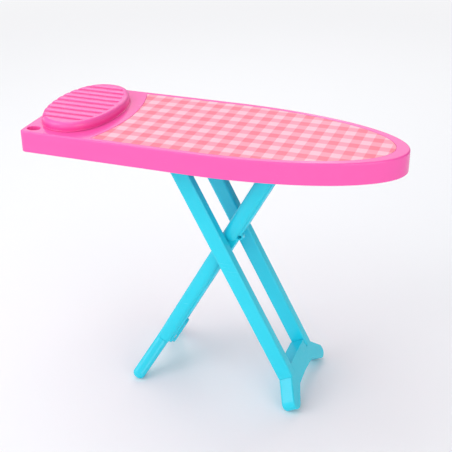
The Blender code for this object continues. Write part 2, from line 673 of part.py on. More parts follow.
def make_foot_bar(name, axis, outline, leg_end, floor):
    """Foot bar with two splayed toes, each cut flat where it stands, and a peg for each leg."""
    low = leg_end.lift - leg_end.bar_depth / 2
    bar = add_object(name, prism(outline, low, low + leg_end.bar_depth), TURQUOISE, axis)
    bevel(bar, LEG_EDGE, EDGE_SEGMENTS)
    sides = SIDES.values()
    pegs = merged([leg_end.peg(side) for side in sides])
    combine(bar, add_helper(f"{name}_pegs", pegs, axis), "UNION")
    combine(bar, floor, "DIFFERENCE")
    holes = merged([leg_end.peg_hole(side) for side in sides])
    combine(bar, add_helper(f"{name}_pilots", holes, axis), "DIFFERENCE")


def toe_place(floor_line, lean, half_depth, radius, reach):
    """Centre of a toe's round end, so that its rounded lower edge reaches just under the floor."""
    rounding = LEG_EDGE * (math.sin(lean) + math.cos(lean) - 1)
    drop = (half_depth * math.cos(lean) - rounding - FOOT_FLAT) / math.sin(lean)
    return (floor_line - drop - radius, reach)


def make_outer_foot_bar(axis, floor):
    under_half = OUTER_BAR_DEPTH / 2
    toe = toe_place(OUTER_FLOOR, OUTER_LEAN, under_half, OUTER_TOE_RADIUS, OUTER_TOE_REACH)
    top = OUTER_FLOOR - OUTER_BAR_TOP
    under = OUTER_FLOOR - OUTER_BAR_UNDER
    outline = foot_bar_outline(OUTER_END.step + GAP, top, under, OUTER_INSIDE, OUTER_OUTSIDE,
                               toe, OUTER_TOE_RADIUS)
    make_foot_bar("outer_foot_bar", axis, outline, OUTER_END, floor)


def make_inner_foot_bar(axis, floor):
    under_half = INNER_BAR_DEPTH / 2 + INNER_END.lift
    toe = toe_place(INNER_FLOOR, INNER_LEAN, under_half, INNER_TOE_RADIUS, INNER_TOE_REACH)
    top = INNER_FLOOR - INNER_BAR_TOP
    under = INNER_FLOOR - INNER_BAR_UNDER
    outline = foot_bar_outline(INNER_END.step + GAP, top, under, INNER_INSIDE, INNER_OUTSIDE,
                               toe, INNER_TOE_RADIUS)
    make_foot_bar("inner_foot_bar", axis, outline, INNER_END, floor)


def make_pivot(side_name, side, inner_axis, outer_axis):
    """Pin from inside the inner rail into the outer leg, and the bush that keeps the frames apart."""
    head_low = INNER_INSIDE - GAP - PIN_HEAD_THICKNESS
    head = circle((ARM, 0), PIN_HEAD_RADIUS, ROUND_SEGMENTS)
    shank = circle((ARM, 0), PIN_RADIUS, ROUND_SEGMENTS)
    places = [head_low, INNER_INSIDE - GAP, INNER_INSIDE - GAP, OUTER_INSIDE + PIN_DEPTH]
    pin = stack([head, head, shank, shank], [side * place for place in places])
    turn = Matrix(((1, 0, 0), (0, 0, 1), (0, 1, 0)))
    bmesh.ops.transform(pin, matrix=turn.to_4x4(), verts=pin.verts)
    add_object(f"pivot_pin_{side_name}", pin, TURQUOISE, inner_axis)

    low, high = sorted((side * (NECK_FACE + GAP), side * (OUTER_INSIDE - GAP)))
    bush = prism(circle((0, 0), BUSH_RADIUS, ROUND_SEGMENTS), low, high, "XZ")
    ring_piece = add_object(f"pivot_bush_{side_name}", bush, TURQUOISE, outer_axis)
    bore = prism(circle((0, 0), PIN_RADIUS + GAP, ROUND_SEGMENTS), low - GAP, high + GAP, "XZ")
    combine(ring_piece, add_helper(f"bush_bore_{side_name}", bore, outer_axis), "DIFFERENCE")


def make_rod_cap(side_name, side, axis):
    """Cap pushed on the end of the slide rod, outside its rail."""
    low, high = sorted((side * CAP_FACE, side * (CAP_FACE + CAP_THICKNESS)))
    body = prism(circle((-ARM, 0), CAP_RADIUS, ROUND_SEGMENTS), low, high, "XZ")
    cap = add_object(f"rod_cap_{side_name}", body, TURQUOISE, axis)
    low, high = sorted((side * (CAP_FACE - GAP), side * (CAP_FACE + CAP_THICKNESS / 2)))
    seat = prism(circle((-ARM, 0), ROD_RADIUS + GAP / 3, ROUND_SEGMENTS), low, high, "XZ")
    combine(cap, add_helper(f"cap_seat_{side_name}", seat, axis), "DIFFERENCE")


def make_frames():
    inner_axis = add_axis("inner_frame_axis", (HINGE_X, 0, HINGE_HEIGHT), math.pi - INNER_LEAN)
    outer_axis = add_axis("outer_frame_axis", (PIVOT_X, 0, PIVOT_HEIGHT), OUTER_LEAN, inner_axis)
    reach = BOARD_LENGTH
    floor = add_helper("floor_cutter", block((-reach, -reach, -reach), (reach, reach, 0)))
    for side_name, side in SIDES.items():
        make_inner_rail(side_name, side, inner_axis)
        make_outer_leg(side_name, side, outer_axis)
        make_pivot(side_name, side, inner_axis, outer_axis)
        make_rod_cap(side_name, side, outer_axis)
    make_inner_foot_bar(inner_axis, floor)
    make_outer_foot_bar(outer_axis, floor)
    make_rod("hinge_rod", BRACKET_INSIDE + BRACKET_WIDTH - BRACKET_WALL - GAP, inner_axis, 0)
    make_rod("slide_rod", CAP_FACE + CAP_THICKNESS / 2 - GAP, outer_axis, -ARM)


def main():
    clear_scene()
    make_board()
    make_sheet()
    make_rest()
    for side_name, side in SIDES.items():
        make_rail(side_name, side)
        make_bracket(side_name, side)
    make_under_board_screws()
    make_frames()


main()
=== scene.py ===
"""Looks of a toy ironing board: its mouldings, printed cover and screws, the studio and the camera.

Lengths are in metres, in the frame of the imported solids. The solids give where each piece lies, and the
sizes that only the finer surfaces need are fields of the classes below.
"""

import json
import logging
import math
from dataclasses import dataclass
from enum import Enum
from typing import Callable, Iterable, Sequence

import bmesh
import bpy
from mathutils import Matrix, Vector


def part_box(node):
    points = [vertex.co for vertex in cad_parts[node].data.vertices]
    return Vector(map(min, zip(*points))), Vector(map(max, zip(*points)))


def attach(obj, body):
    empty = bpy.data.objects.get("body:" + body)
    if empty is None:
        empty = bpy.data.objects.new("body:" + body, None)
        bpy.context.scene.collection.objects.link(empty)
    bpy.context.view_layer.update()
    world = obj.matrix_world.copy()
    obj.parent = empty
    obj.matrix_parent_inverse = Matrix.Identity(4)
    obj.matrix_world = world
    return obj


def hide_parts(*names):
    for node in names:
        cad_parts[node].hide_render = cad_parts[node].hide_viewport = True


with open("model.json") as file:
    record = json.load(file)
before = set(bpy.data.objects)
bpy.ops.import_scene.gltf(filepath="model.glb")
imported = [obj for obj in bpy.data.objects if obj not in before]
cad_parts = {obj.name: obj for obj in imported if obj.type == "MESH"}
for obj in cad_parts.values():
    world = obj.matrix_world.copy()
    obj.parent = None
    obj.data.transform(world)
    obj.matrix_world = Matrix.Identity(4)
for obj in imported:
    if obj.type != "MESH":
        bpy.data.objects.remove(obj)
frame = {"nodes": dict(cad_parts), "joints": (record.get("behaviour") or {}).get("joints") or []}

MM = 0.001
GAP = 0.3 * MM
ROUND = 64                       # segments of a full circle on a visible edge
SMALL_ROUND = 32                 # segments of a full circle on a small part
SHARP_ANGLE = math.radians(38)   # edges sharper than this stay sharp
SQUARE = 0.3 * MM                # radius of a corner that looks square

Point = tuple[float, float]
Colour = tuple[float, float, float]
Level = tuple[Sequence[Point], float]
Outline = Callable[[float], list[Point]]     # an outline for each inset
Shape = bmesh.types.BMesh
Piece = bpy.types.Object

log = logging.getLogger("ironing_board")


class Side(Enum):
    """The two long sides of the board; the value is the sign of their Y."""

    FRONT = -1
    BACK = 1

    @property
    def tag(self) -> str:
        """The side's name as the solids spell it."""
        return self.name.lower()

    def span(self, near: float, far: float) -> list[float]:
        """Two distances from the board's middle as places on this side, the lower one first."""
        return sorted((self.value * near, self.value * far))


class Plane(Enum):
    """The plane that an outline lies in, as the matrix that takes (x, y, height) there."""

    PLAN = Matrix(((1, 0, 0), (0, 1, 0), (0, 0, 1)))
    SIDE = Matrix(((1, 0, 0), (0, 0, 1), (0, 1, 0)))


class Join(Enum):
    """What a Boolean does with its second shape."""

    ADD = "UNION"
    CUT = "DIFFERENCE"


class Slot(Enum):
    """Material slots of the record."""

    PINK = "pink_plastic"
    TURQUOISE = "turquoise_plastic"
    COVER = "printed_cover"
    STEEL = "steel"


class Value:
    """A number socket that takes part in Python arithmetic by adding Math nodes."""

    def __init__(self, book: "NodeBook", socket: bpy.types.NodeSocket) -> None:
        """Keeps the socket and the book that new nodes go to."""
        self.book = book
        self.socket = socket

    def calc(self, operation: str, *others: "Value | float") -> "Value":
        """One Math node with this value first."""
        return self.book.node("ShaderNodeMath", {"operation": operation}, dict(enumerate((self, *others))))

    def __add__(self, other: "Value | float") -> "Value":
        """Sum; the order doesn't matter."""
        return self.calc("ADD", other)

    __radd__ = __add__

    def __sub__(self, other: "Value | float") -> "Value":
        """Difference."""
        return self.calc("SUBTRACT", other)

    def __rsub__(self, other: float) -> "Value":
        """Difference with a plain number in front."""
        return self.calc("MULTIPLY", -1.0).calc("ADD", other)

    def __mul__(self, other: "Value | float") -> "Value":
        """Product; the order doesn't matter."""
        return self.calc("MULTIPLY", other)

    __rmul__ = __mul__

    def __truediv__(self, other: "Value | float") -> "Value":
        """Quotient."""
        return self.calc("DIVIDE", other)

    def __pow__(self, other: float) -> "Value":
        """Power."""
        return self.calc("POWER", other)

    def __abs__(self) -> "Value":
        """Size without its sign."""
        return self.calc("ABSOLUTE")

    def sine(self) -> "Value":
        """Sine of an angle in radians."""
        return self.calc("SINE")

    def at_least(self, other: "Value | float") -> "Value":
        """The larger of the two."""
        return self.calc("MAXIMUM", other)

    def at_most(self, other: "Value | float") -> "Value":
        """The smaller of the two."""
        return self.calc("MINIMUM", other)

    def above(self, limit: "Value | float") -> "Value":
        """1 where this is over the limit, else 0."""
        return self.calc("GREATER_THAN", limit)

    def share(self) -> "Value":
        """This value held between 0 and 1."""
        return self.at_least(0.0).at_most(1.0)

    def ramp(self, start: float, slope: float) -> "Value":
        """0 up to the start, then a rise with this slope up to 1."""
        return ((self - start) * slope).share()

    def eased(self) -> "Value":
        """A share that leaves 0 and meets 1 smoothly."""
        return self * self * (3.0 - 2.0 * self)


class NodeBook:
    """Adds nodes to one tree, each with its settings first and then its inputs."""

    def __init__(self, tree: bpy.types.NodeTree) -> None:
        """Starts on an empty tree."""
        self.tree = tree
        tree.nodes.clear()

    def node(self, kind: str, settings: dict[str, object], inputs: dict[str | int, object],
             output: int | str = 0) -> Value:
        """Adds one node.

        Args:
            kind: The node's type name.
            settings: Its properties, such as an operation.
            inputs: Constants or values by socket name or number.
            output: The socket that the result stands for.

        Returns:
            The chosen output as a value.
        """
        made = self.tree.nodes.new(kind)
        for name, setting in settings.items():
            setattr(made, name, setting)
        for key, value in inputs.items():
            if isinstance(value, Value):
                self.tree.links.new(value.socket, made.inputs[key])
            else:
                made.inputs[key].default_value = value
        return Value(self, made.outputs[output] if made.outputs else None)

    def axes(self, vector: Value) -> tuple[Value, Value, Value]:
        """The three parts of a vector."""
        first = self.node("ShaderNodeSeparateXYZ", {}, {0: vector})
        outputs = first.socket.node.outputs
        return first, Value(self, outputs[1]), Value(self, outputs[2])

    def vector(self, x: Value | float, y: Value | float, z: Value | float) -> Value:
        """A vector from its three parts."""
        return self.node("ShaderNodeCombineXYZ", {}, {0: x, 1: y, 2: z})

    def mix(self, share: Value | float, first: object, second: object) -> Value:
        """A colour between two others."""
        ends = {6: self.opaque(first), 7: self.opaque(second)}
        return self.node("ShaderNodeMix", {"data_type": "RGBA"}, {0: share, **ends}, 2)

    @staticmethod
    def opaque(colour: object) -> object:
        """A plain colour with its alpha, or a value as it is."""
        return colour if isinstance(colour, Value) else (*colour, 1.0)

    def noise(self, place: Value, stretch: Sequence[float], detail: float = 2.0) -> Value:
        """Noise on object coordinates; stretch holds its cycles per metre along X, Y and Z."""
        mapped = self.node("ShaderNodeMapping", {}, {"Vector": place, "Scale": tuple(stretch)})
        return self.node("ShaderNodeTexNoise", {}, {"Vector": mapped, "Scale": 1.0, "Detail": detail})


class SurfaceBook(NodeBook):
    """The node tree of one material."""

    def __init__(self, name: str) -> None:
        """Makes the material and its coordinates."""
        self.material = bpy.data.materials.new(name)
        self.material.use_nodes = True
        super().__init__(self.material.node_tree)
        self.place = self.node("ShaderNodeTexCoord", {}, {}, "Object")

    def principled(self, inputs: dict[str | int, object]) -> bpy.types.Material:
        """Ends the tree in a Principled shader and returns the material."""
        shader = self.node("ShaderNodeBsdfPrincipled", {}, inputs)
        self.node("ShaderNodeOutputMaterial", {}, {0: shader})
        return self.material

    def bump(self, height: Value, depth: float, strength: float) -> Value:
        """A normal from a height between 0 and 1 that stands for this depth."""
        return self.node("ShaderNodeBump", {}, {"Height": height, "Distance": depth, "Strength": strength})


@dataclass(frozen=True)
class MouldedPlastic:
    """Injection-moulded plastic: even colour, soft gloss, flow marks, faint scuffs and painted shade in
    grooves.
    """

    name: str
    colour: Colour
    deep: Colour
    cavity: Colour               # painted shade deep inside a groove and round the rest's foot
    gloss: float = 0.5           # specular level
    roughness: float = 0.22
    drift: float = 14.0          # cycles per metre of the slow drift in tone
    peel: float = 620.0          # cycles per metre of the orange peel
    relief: float = 0.02 * MM    # depth of the orange peel
    scratch: tuple[float, float, float] = (60.0, 1500.0, 1500.0)
    handled: float = 22.0        # cycles per metre of the areas that are scratched
    scuffing: float = 0.03

    def material(self) -> bpy.types.Material:
        """Builds the node tree."""
        book = SurfaceBook(self.name)
        drift = book.noise(book.place, (self.drift,) * 3)
        flow = book.noise(book.place, (self.drift * 2, self.drift * 16, self.drift * 8), 3.0)
        tone = (0.55 * drift + 0.45 * flow - 0.32) * 0.9
        colour = book.mix(tone.share(), self.colour, self.deep)
        scratches = book.noise(book.place, self.scratch, 4.0)
        areas = book.noise(book.place, (self.handled,) * 3)
        scuff = scratches.ramp(0.64, 9.0) * areas.ramp(0.5, 6.0)
        # Painted shade: the colour darkens towards the recess shade by the stored "depth" share, deep in
        # the rest's grooves and round its foot.
        depth = book.node("ShaderNodeAttribute", {"attribute_name": "depth"}, {}, "Fac")
        with_painted_shade = book.mix(depth.share(), colour, self.cavity)
        worn = book.mix(scuff * self.scuffing, with_painted_shade, (1.0, 1.0, 1.0))
        peel = book.noise(book.place, (self.peel,) * 3, 1.0)
        rough = self.roughness + 0.10 * (flow - 0.5) + 0.16 * scuff
        normal = book.bump(peel + 0.1 * scuff, self.relief, 0.3)
        return book.principled({"Base Color": worn, "Roughness": rough, "Normal": normal,
                                "Specular IOR Level": self.gloss, "IOR": 1.5})


@dataclass(frozen=True)
class PrintedCheck:
    """Smooth sheet printed with gingham: stripes of one tint both ways, darker where they cross."""

    name: str
    paper: Colour
    stripe_along: Colour
    stripe_across: Colour
    crossing: Colour
    period: float                # one dark and one light stripe
    centre: Point                # middle of a light square
    top: float                   # height of the printed face
    edge: Colour = (0.93, 0.84, 0.66)
    edge_from: float = 0.12 * MM  # depth under the printed face at which the cut edge starts
    softness: float = 14.0       # the larger, the crisper the stripes' edges
    thread: float = 0.9 * MM     # period of the printed weave
    wander: float = 0.5 * MM     # how far the stripes stray

    def stripe(self, place: Value, middle: float) -> Value:
        """1 on a stripe and 0 between stripes, along one axis."""
        turn = 2 * math.pi / self.period
        wave = ((place - middle) * turn - math.pi / 2).sine()
        return (wave * self.softness + 0.5).share()

    def material(self) -> bpy.types.Material:
        """Builds the node tree."""
        book = SurfaceBook(self.name)
        x, y, z = book.axes(book.place)
        wander = (book.noise(book.place, (90.0,) * 3) - 0.5) * self.wander
        across = self.stripe(x + wander, self.centre[0])
        along = self.stripe(y + wander, self.centre[1])
        base = book.mix(across, self.paper, self.stripe_across)
        crossed = book.mix(across, self.stripe_along, self.crossing)
        check = book.mix(along, base, crossed)
        thread_x, thread_y = ((way * (2 * math.pi / self.thread)).sine() for way in (x, y))
        ink = (0.5 + 0.25 * thread_y * (1.0 - 0.5 * across) + 0.25 * thread_x * (1.0 - 0.5 * along)).share()
        fibre = book.noise(book.place, (300.0, 900.0, 300.0), 3.0)
        print_tone = ((ink - 0.5) * 0.16 + (fibre - 0.5) * 0.14).at_least(0.0)
        printed = book.mix(print_tone, check, self.crossing)
        cut = (self.top - self.edge_from - z).above(0.0)
        colour = book.mix(cut, printed, self.edge)
        wavy = book.noise(book.place, (26.0,) * 3)
        rough = 0.36 + 0.10 * (fibre - 0.5) + 0.05 * ink
        normal = book.bump(wavy + 0.05 * fibre, 0.25 * MM, 0.5)
        return book.principled({"Base Color": colour, "Roughness": rough, "Normal": normal,
                                "Specular IOR Level": 0.5})


@dataclass(frozen=True)
class PlatedSteel:
    """Zinc-plated screw steel with turning marks and dull spots."""

    name: str
    colour: Colour = (0.66, 0.66, 0.68)
    dull: Colour = (0.42, 0.41, 0.40)

    def material(self) -> bpy.types.Material:
        """Builds the node tree."""
        book = SurfaceBook(self.name)
        spots = book.noise(book.place, (900.0,) * 3, 3.0)
        marks = book.noise(book.place, (2600.0, 2600.0, 500.0))
        stain = spots.ramp(0.48, 4.0)
        colour = book.mix(stain * 0.6, self.colour, self.dull)
        rough = 0.26 + 0.16 * marks + 0.14 * stain
        return book.principled({"Base Color": colour, "Roughness": rough, "Metallic": 1.0,
                                "Normal": book.bump(marks, 0.01 * MM, 0.4)})


@dataclass(frozen=True)
class StudioPaper:
    """Pale seamless paper that keeps the shadow and fades to the backdrop far away."""

    name: str
    paper: Colour = (0.875, 0.88, 0.895)
    far: Colour = (0.93, 0.93, 0.945)
    near: float = 0.5            # distance at which the fade starts
    reach: float = 1.4           # distance over which it fades
    fleck: Colour = (0.80, 0.80, 0.82)
    grain: float = 400.0         # cycles per metre
    shade_way: Point = (0.55, 0.84)
    shade_from: float = 1.8      # how far that way the room's shade starts
    shade_reach: float = 1.4
    shade: float = 0.75

    def material(self) -> bpy.types.Material:
        """Builds the node tree."""
        book = SurfaceBook(self.name)
        x, y, _ = book.axes(book.place)
        distance = (x * x + y * y) ** 0.5
        fade = ((distance - self.near) / self.reach).share()
        grain = book.noise(book.place, (self.grain,) * 3)
        colour = book.mix(grain * 0.03, self.paper, self.fleck)
        matt = book.node("ShaderNodeBsdfDiffuse", {}, {"Color": colour})
        along = self.shade_way[0] * x + self.shade_way[1] * y
        shaded = ((along - self.shade_from) / self.shade_reach).share()
        glow = book.node("ShaderNodeEmission", {}, {"Color": (*self.far, 1.0),
                                                    "Strength": 1.0 - shaded * self.shade})
        both = book.node("ShaderNodeMixShader", {}, {0: fade, 1: matt, 2: glow})
        book.node("ShaderNodeOutputMaterial", {}, {0: both})
        return book.material


def arc(centre: Point, radius: float, start: float, end: float, steps: int) -> list[Point]:
    """Points of a circular arc with both ends; angles in degrees."""
    turns = [math.radians(start + (end - start) * i / steps) for i in range(steps + 1)]
    return [(centre[0] + radius * math.cos(a), centre[1] + radius * math.sin(a)) for a in turns]


def quarter(steps: int) -> list[float]:
    """Angles of a quarter turn, both ends included."""
    return [math.pi / 2 * i / steps for i in range(steps + 1)]


def rounding(radius: float, steps: int) -> list[tuple[float, float]]:
    """A rounded edge, from the side to the end: how far it is drawn in, and how far it is from the end."""
    return [(radius * (1 - math.cos(a)), radius * (1 - math.sin(a))) for a in quarter(steps)]


def circle(centre: Point, radius: float, steps: int = SMALL_ROUND) -> list[Point]:
    """Points of a full circle."""
    return arc(centre, radius, 0, 360, steps)[:-1]


def oval(centre: Point, half_x: float, half_y: float, steps: int = ROUND) -> list[Point]:
    """Points of an ellipse."""
    return [(centre[0] + half_x * x, centre[1] + half_y * y) for x, y in circle((0, 0), 1.0, steps)]


def rounded_bar(start: float, end: float, half: float, radii: tuple[float, float]) -> list[Point]:
    """Outline of a bar along X with its own corner radius at its start and at its end."""
    start_steps, end_steps = 20, 10
    left, right = start + radii[0], end - radii[1]
    points = arc((right, half - radii[1]), radii[1], 90, 0, end_steps)
    points += arc((right, radii[1] - half), radii[1], 0, -90, end_steps)
    points += arc((left, radii[0] - half), radii[0], -90, -180, start_steps)
    return points + arc((left, half - radii[0]), radii[0], 180, 90, start_steps)[1:]


def filleted(points: Sequence[Point], radii: dict[int, float], steps: int = 8) -> list[Point]:
    """Rounds some corners of an outline.

    Args:
        points: The outline's corners in order.
        radii: Fillet radius by corner number.
        steps: Segments of each fillet.

    Returns:
        The outline with an arc at each of those corners.
    """
    made: list[Point] = []
    count = len(points)
    for i, point in enumerate(points):
        if i not in radii:
            made.append(point)
            continue
        corner = Vector(point)
        before = (Vector(points[i - 1]) - corner).normalized()
        after = (Vector(points[(i + 1) % count]) - corner).normalized()
        half = before.angle(after) / 2
        reach = radii[i] / math.tan(half)
        centre = corner + (before + after).normalized() * radii[i] / math.sin(half)
        first = corner + before * reach - centre
        last = corner + after * reach - centre
        turn = first.angle_signed(last)
        for k in range(steps + 1):
            spoke = first.copy()
            spoke.rotate(Matrix.Rotation(-turn * k / steps, 2))
            made.append(tuple(centre + spoke))
    return made


def loft(levels: Sequence[Level], plane: Plane = Plane.PLAN) -> Shape:
    """A closed body through a stack of like outlines.

    Args:
        levels: Outlines and their heights, all with the same number of points.
        plane: The plane that the outlines lie in.

    Returns:
        The body, capped at both ends, with its faces pointing out.
    """
    return skinned([[plane.value @ Vector((x, y, height)) for x, y in points] for points, height in levels])


def skinned(places: Sequence[Sequence[Vector]]) -> Shape:
    """A closed body through rings of places, capped at both ends, with its faces pointing out."""
    body = bmesh.new()
    rings = [[body.verts.new(place) for place in ring] for ring in places]
    for lower, upper in zip(rings, rings[1:]):
        for i in range(len(lower)):
            j = (i + 1) % len(lower)
            body.faces.new((lower[i], lower[j], upper[j], upper[i]))
    body.faces.new(rings[0])
    body.faces.new(rings[-1])
    bmesh.ops.recalc_face_normals(body, faces=body.faces)
    return body


def slab(outline: Outline, low: float, high: float, edge: tuple[float, float], plane: Plane = Plane.PLAN,
         steps: int = 6) -> Shape:
    """A slab whose edges are rounded by drawing its outline in.

    Args:
        outline: Gives the outline for an inset.
        low: Where the slab starts.
        high: Where it ends.
        edge: Radius of the rounding at the low and at the high face.
        plane: The plane that the outline lies in.
        steps: Segments of each rounding.

    Returns:
        The closed body.
    """
    levels = [(outline(off), low + drawn) for drawn, off in rounding(edge[0], steps)]
    levels += [(outline(drawn), high - off) for drawn, off in rounding(edge[1], steps)]
    return loft(levels, plane)


def block(low: Sequence[float], high: Sequence[float]) -> Shape:
    """A box between two opposite corners, given in any order."""
    (x0, x1), (y0, y1), (z0, z1) = (sorted(pair) for pair in zip(low, high))
    outline = [(x0, y0), (x1, y0), (x1, y1), (x0, y1)]
    return loft([(outline, z0), (outline, z1)])


def to_object(name: str, body: Shape, place: Matrix | None = None) -> Piece:
    """Turns a body into a smooth-shaded object at the origin.

    Args:
        name: The object's name.
        body: The mesh under construction; it is freed.
        place: Takes the body from its own axes to the world's, in the mesh itself.

    Returns:
        The new object.
    """
    if place is not None:
        bmesh.ops.transform(body, matrix=place, verts=body.verts)
    bmesh.ops.recalc_face_normals(body, faces=body.faces)
    mesh = bpy.data.meshes.new(name)
    body.to_mesh(mesh)
    body.free()
    made = bpy.data.objects.new(name, mesh)
    bpy.context.scene.collection.objects.link(made)
    return made


def settle(piece: Piece, step: bpy.types.Modifier) -> None:
    """Makes what a modifier leaves the piece's own mesh."""
    bpy.context.view_layer.update()
    graph = bpy.context.evaluated_depsgraph_get()
    made = bpy.data.meshes.new_from_object(piece.evaluated_get(graph))
    old = piece.data
    piece.modifiers.remove(step)
    piece.data = made
    bpy.data.meshes.remove(old)


def run_group(piece: Piece, tree: bpy.types.NodeTree, inputs: dict[str, object]) -> None:
    """Runs a node group on a piece and keeps the mesh that it makes.

    Args:
        piece: The object that the group starts from.
        tree: The node group.
        inputs: Values for some of its inputs, by name.
    """
    step = piece.modifiers.new("nodes", "NODES")
    step.node_group = tree
    sockets = {item.name: item.identifier for item in tree.interface.items_tree if item.in_out == "INPUT"}
    for name, value in inputs.items():
        step[sockets[name]] = value
    settle(piece, step)


def combine(piece: Piece, tools: Iterable[Shape], join: Join,
            place: Matrix | None = None) -> None:
    """Adds shapes to a piece or cuts them from it, one after the other."""
    for tool in tools:
        other = to_object("tool", tool, place)
        step = piece.modifiers.new("combine", "BOOLEAN")
        step.operation = join.value
        step.object = other
        settle(piece, step)
        bpy.data.objects.remove(other)


def dress(piece: Piece, body: str, slot: Slot, nodes: Iterable[str]) -> None:
    """Gives a piece its finish, its body and the solids that it stands for.

    Args:
        piece: The finished mesh object.
        body: The moving body that it rides on.
        slot: The record's material slot.
        nodes: The solids that it replaces.
    """
    mesh = piece.data
    mesh.shade_smooth()
    mesh.set_sharp_from_angle(angle=SHARP_ANGLE)
    even = piece.modifiers.new("even_faces", "WEIGHTED_NORMAL")
    even.keep_sharp = True
    mesh.materials.clear()
    mesh.materials.append(Finishes.of(slot))
    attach(piece, body)
    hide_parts(*nodes)
    mesh.name = piece.name
    log.info("%s rides on %s: %d faces", piece.name, body, len(mesh.polygons))


class Finishes:
    """The finishes of the board, each built once."""

    made: dict[Slot, bpy.types.Material] = {}

    @classmethod
    def of(cls, slot: Slot) -> bpy.types.Material:
        """The material of a slot."""
        return cls.made[slot]

    @classmethod
    def build(cls, cover_top: float) -> None:
        """Builds every finish; cover_top is the height of the printed face."""
        cls.made = {
            # The third colour of each plastic is its painted shade deep in grooves and round the rest's
            # foot.
            Slot.PINK: MouldedPlastic("pink_moulding", (0.94, 0.104, 0.43), (0.93, 0.084, 0.39),
                                      (0.93, 0.012, 0.24)).material(),
            Slot.TURQUOISE: MouldedPlastic("turquoise_moulding", (0.014, 0.64, 0.80), (0.006, 0.60, 0.76),
                                           (0.002, 0.35, 0.50)).material(),
            Slot.COVER: PrintedCheck(
                "gingham_print", paper=(0.90, 0.48, 0.585), stripe_along=(0.93, 0.275, 0.39),
                stripe_across=(0.93, 0.29, 0.40), crossing=(0.92, 0.145, 0.235), period=20 * MM,
                centre=(-93.9 * MM, -53.9 * MM), top=cover_top).material(),
            Slot.STEEL: PlatedSteel("plated_screw").material(),
        }


def rail_and_bracket_screws() -> list[str]:
    """Names of the screws that hold the rails and brackets."""
    return [f"{kind}_screw_{side.tag}_{i}" for kind in ("rail", "bracket") for side in Side for i in (1, 2)]


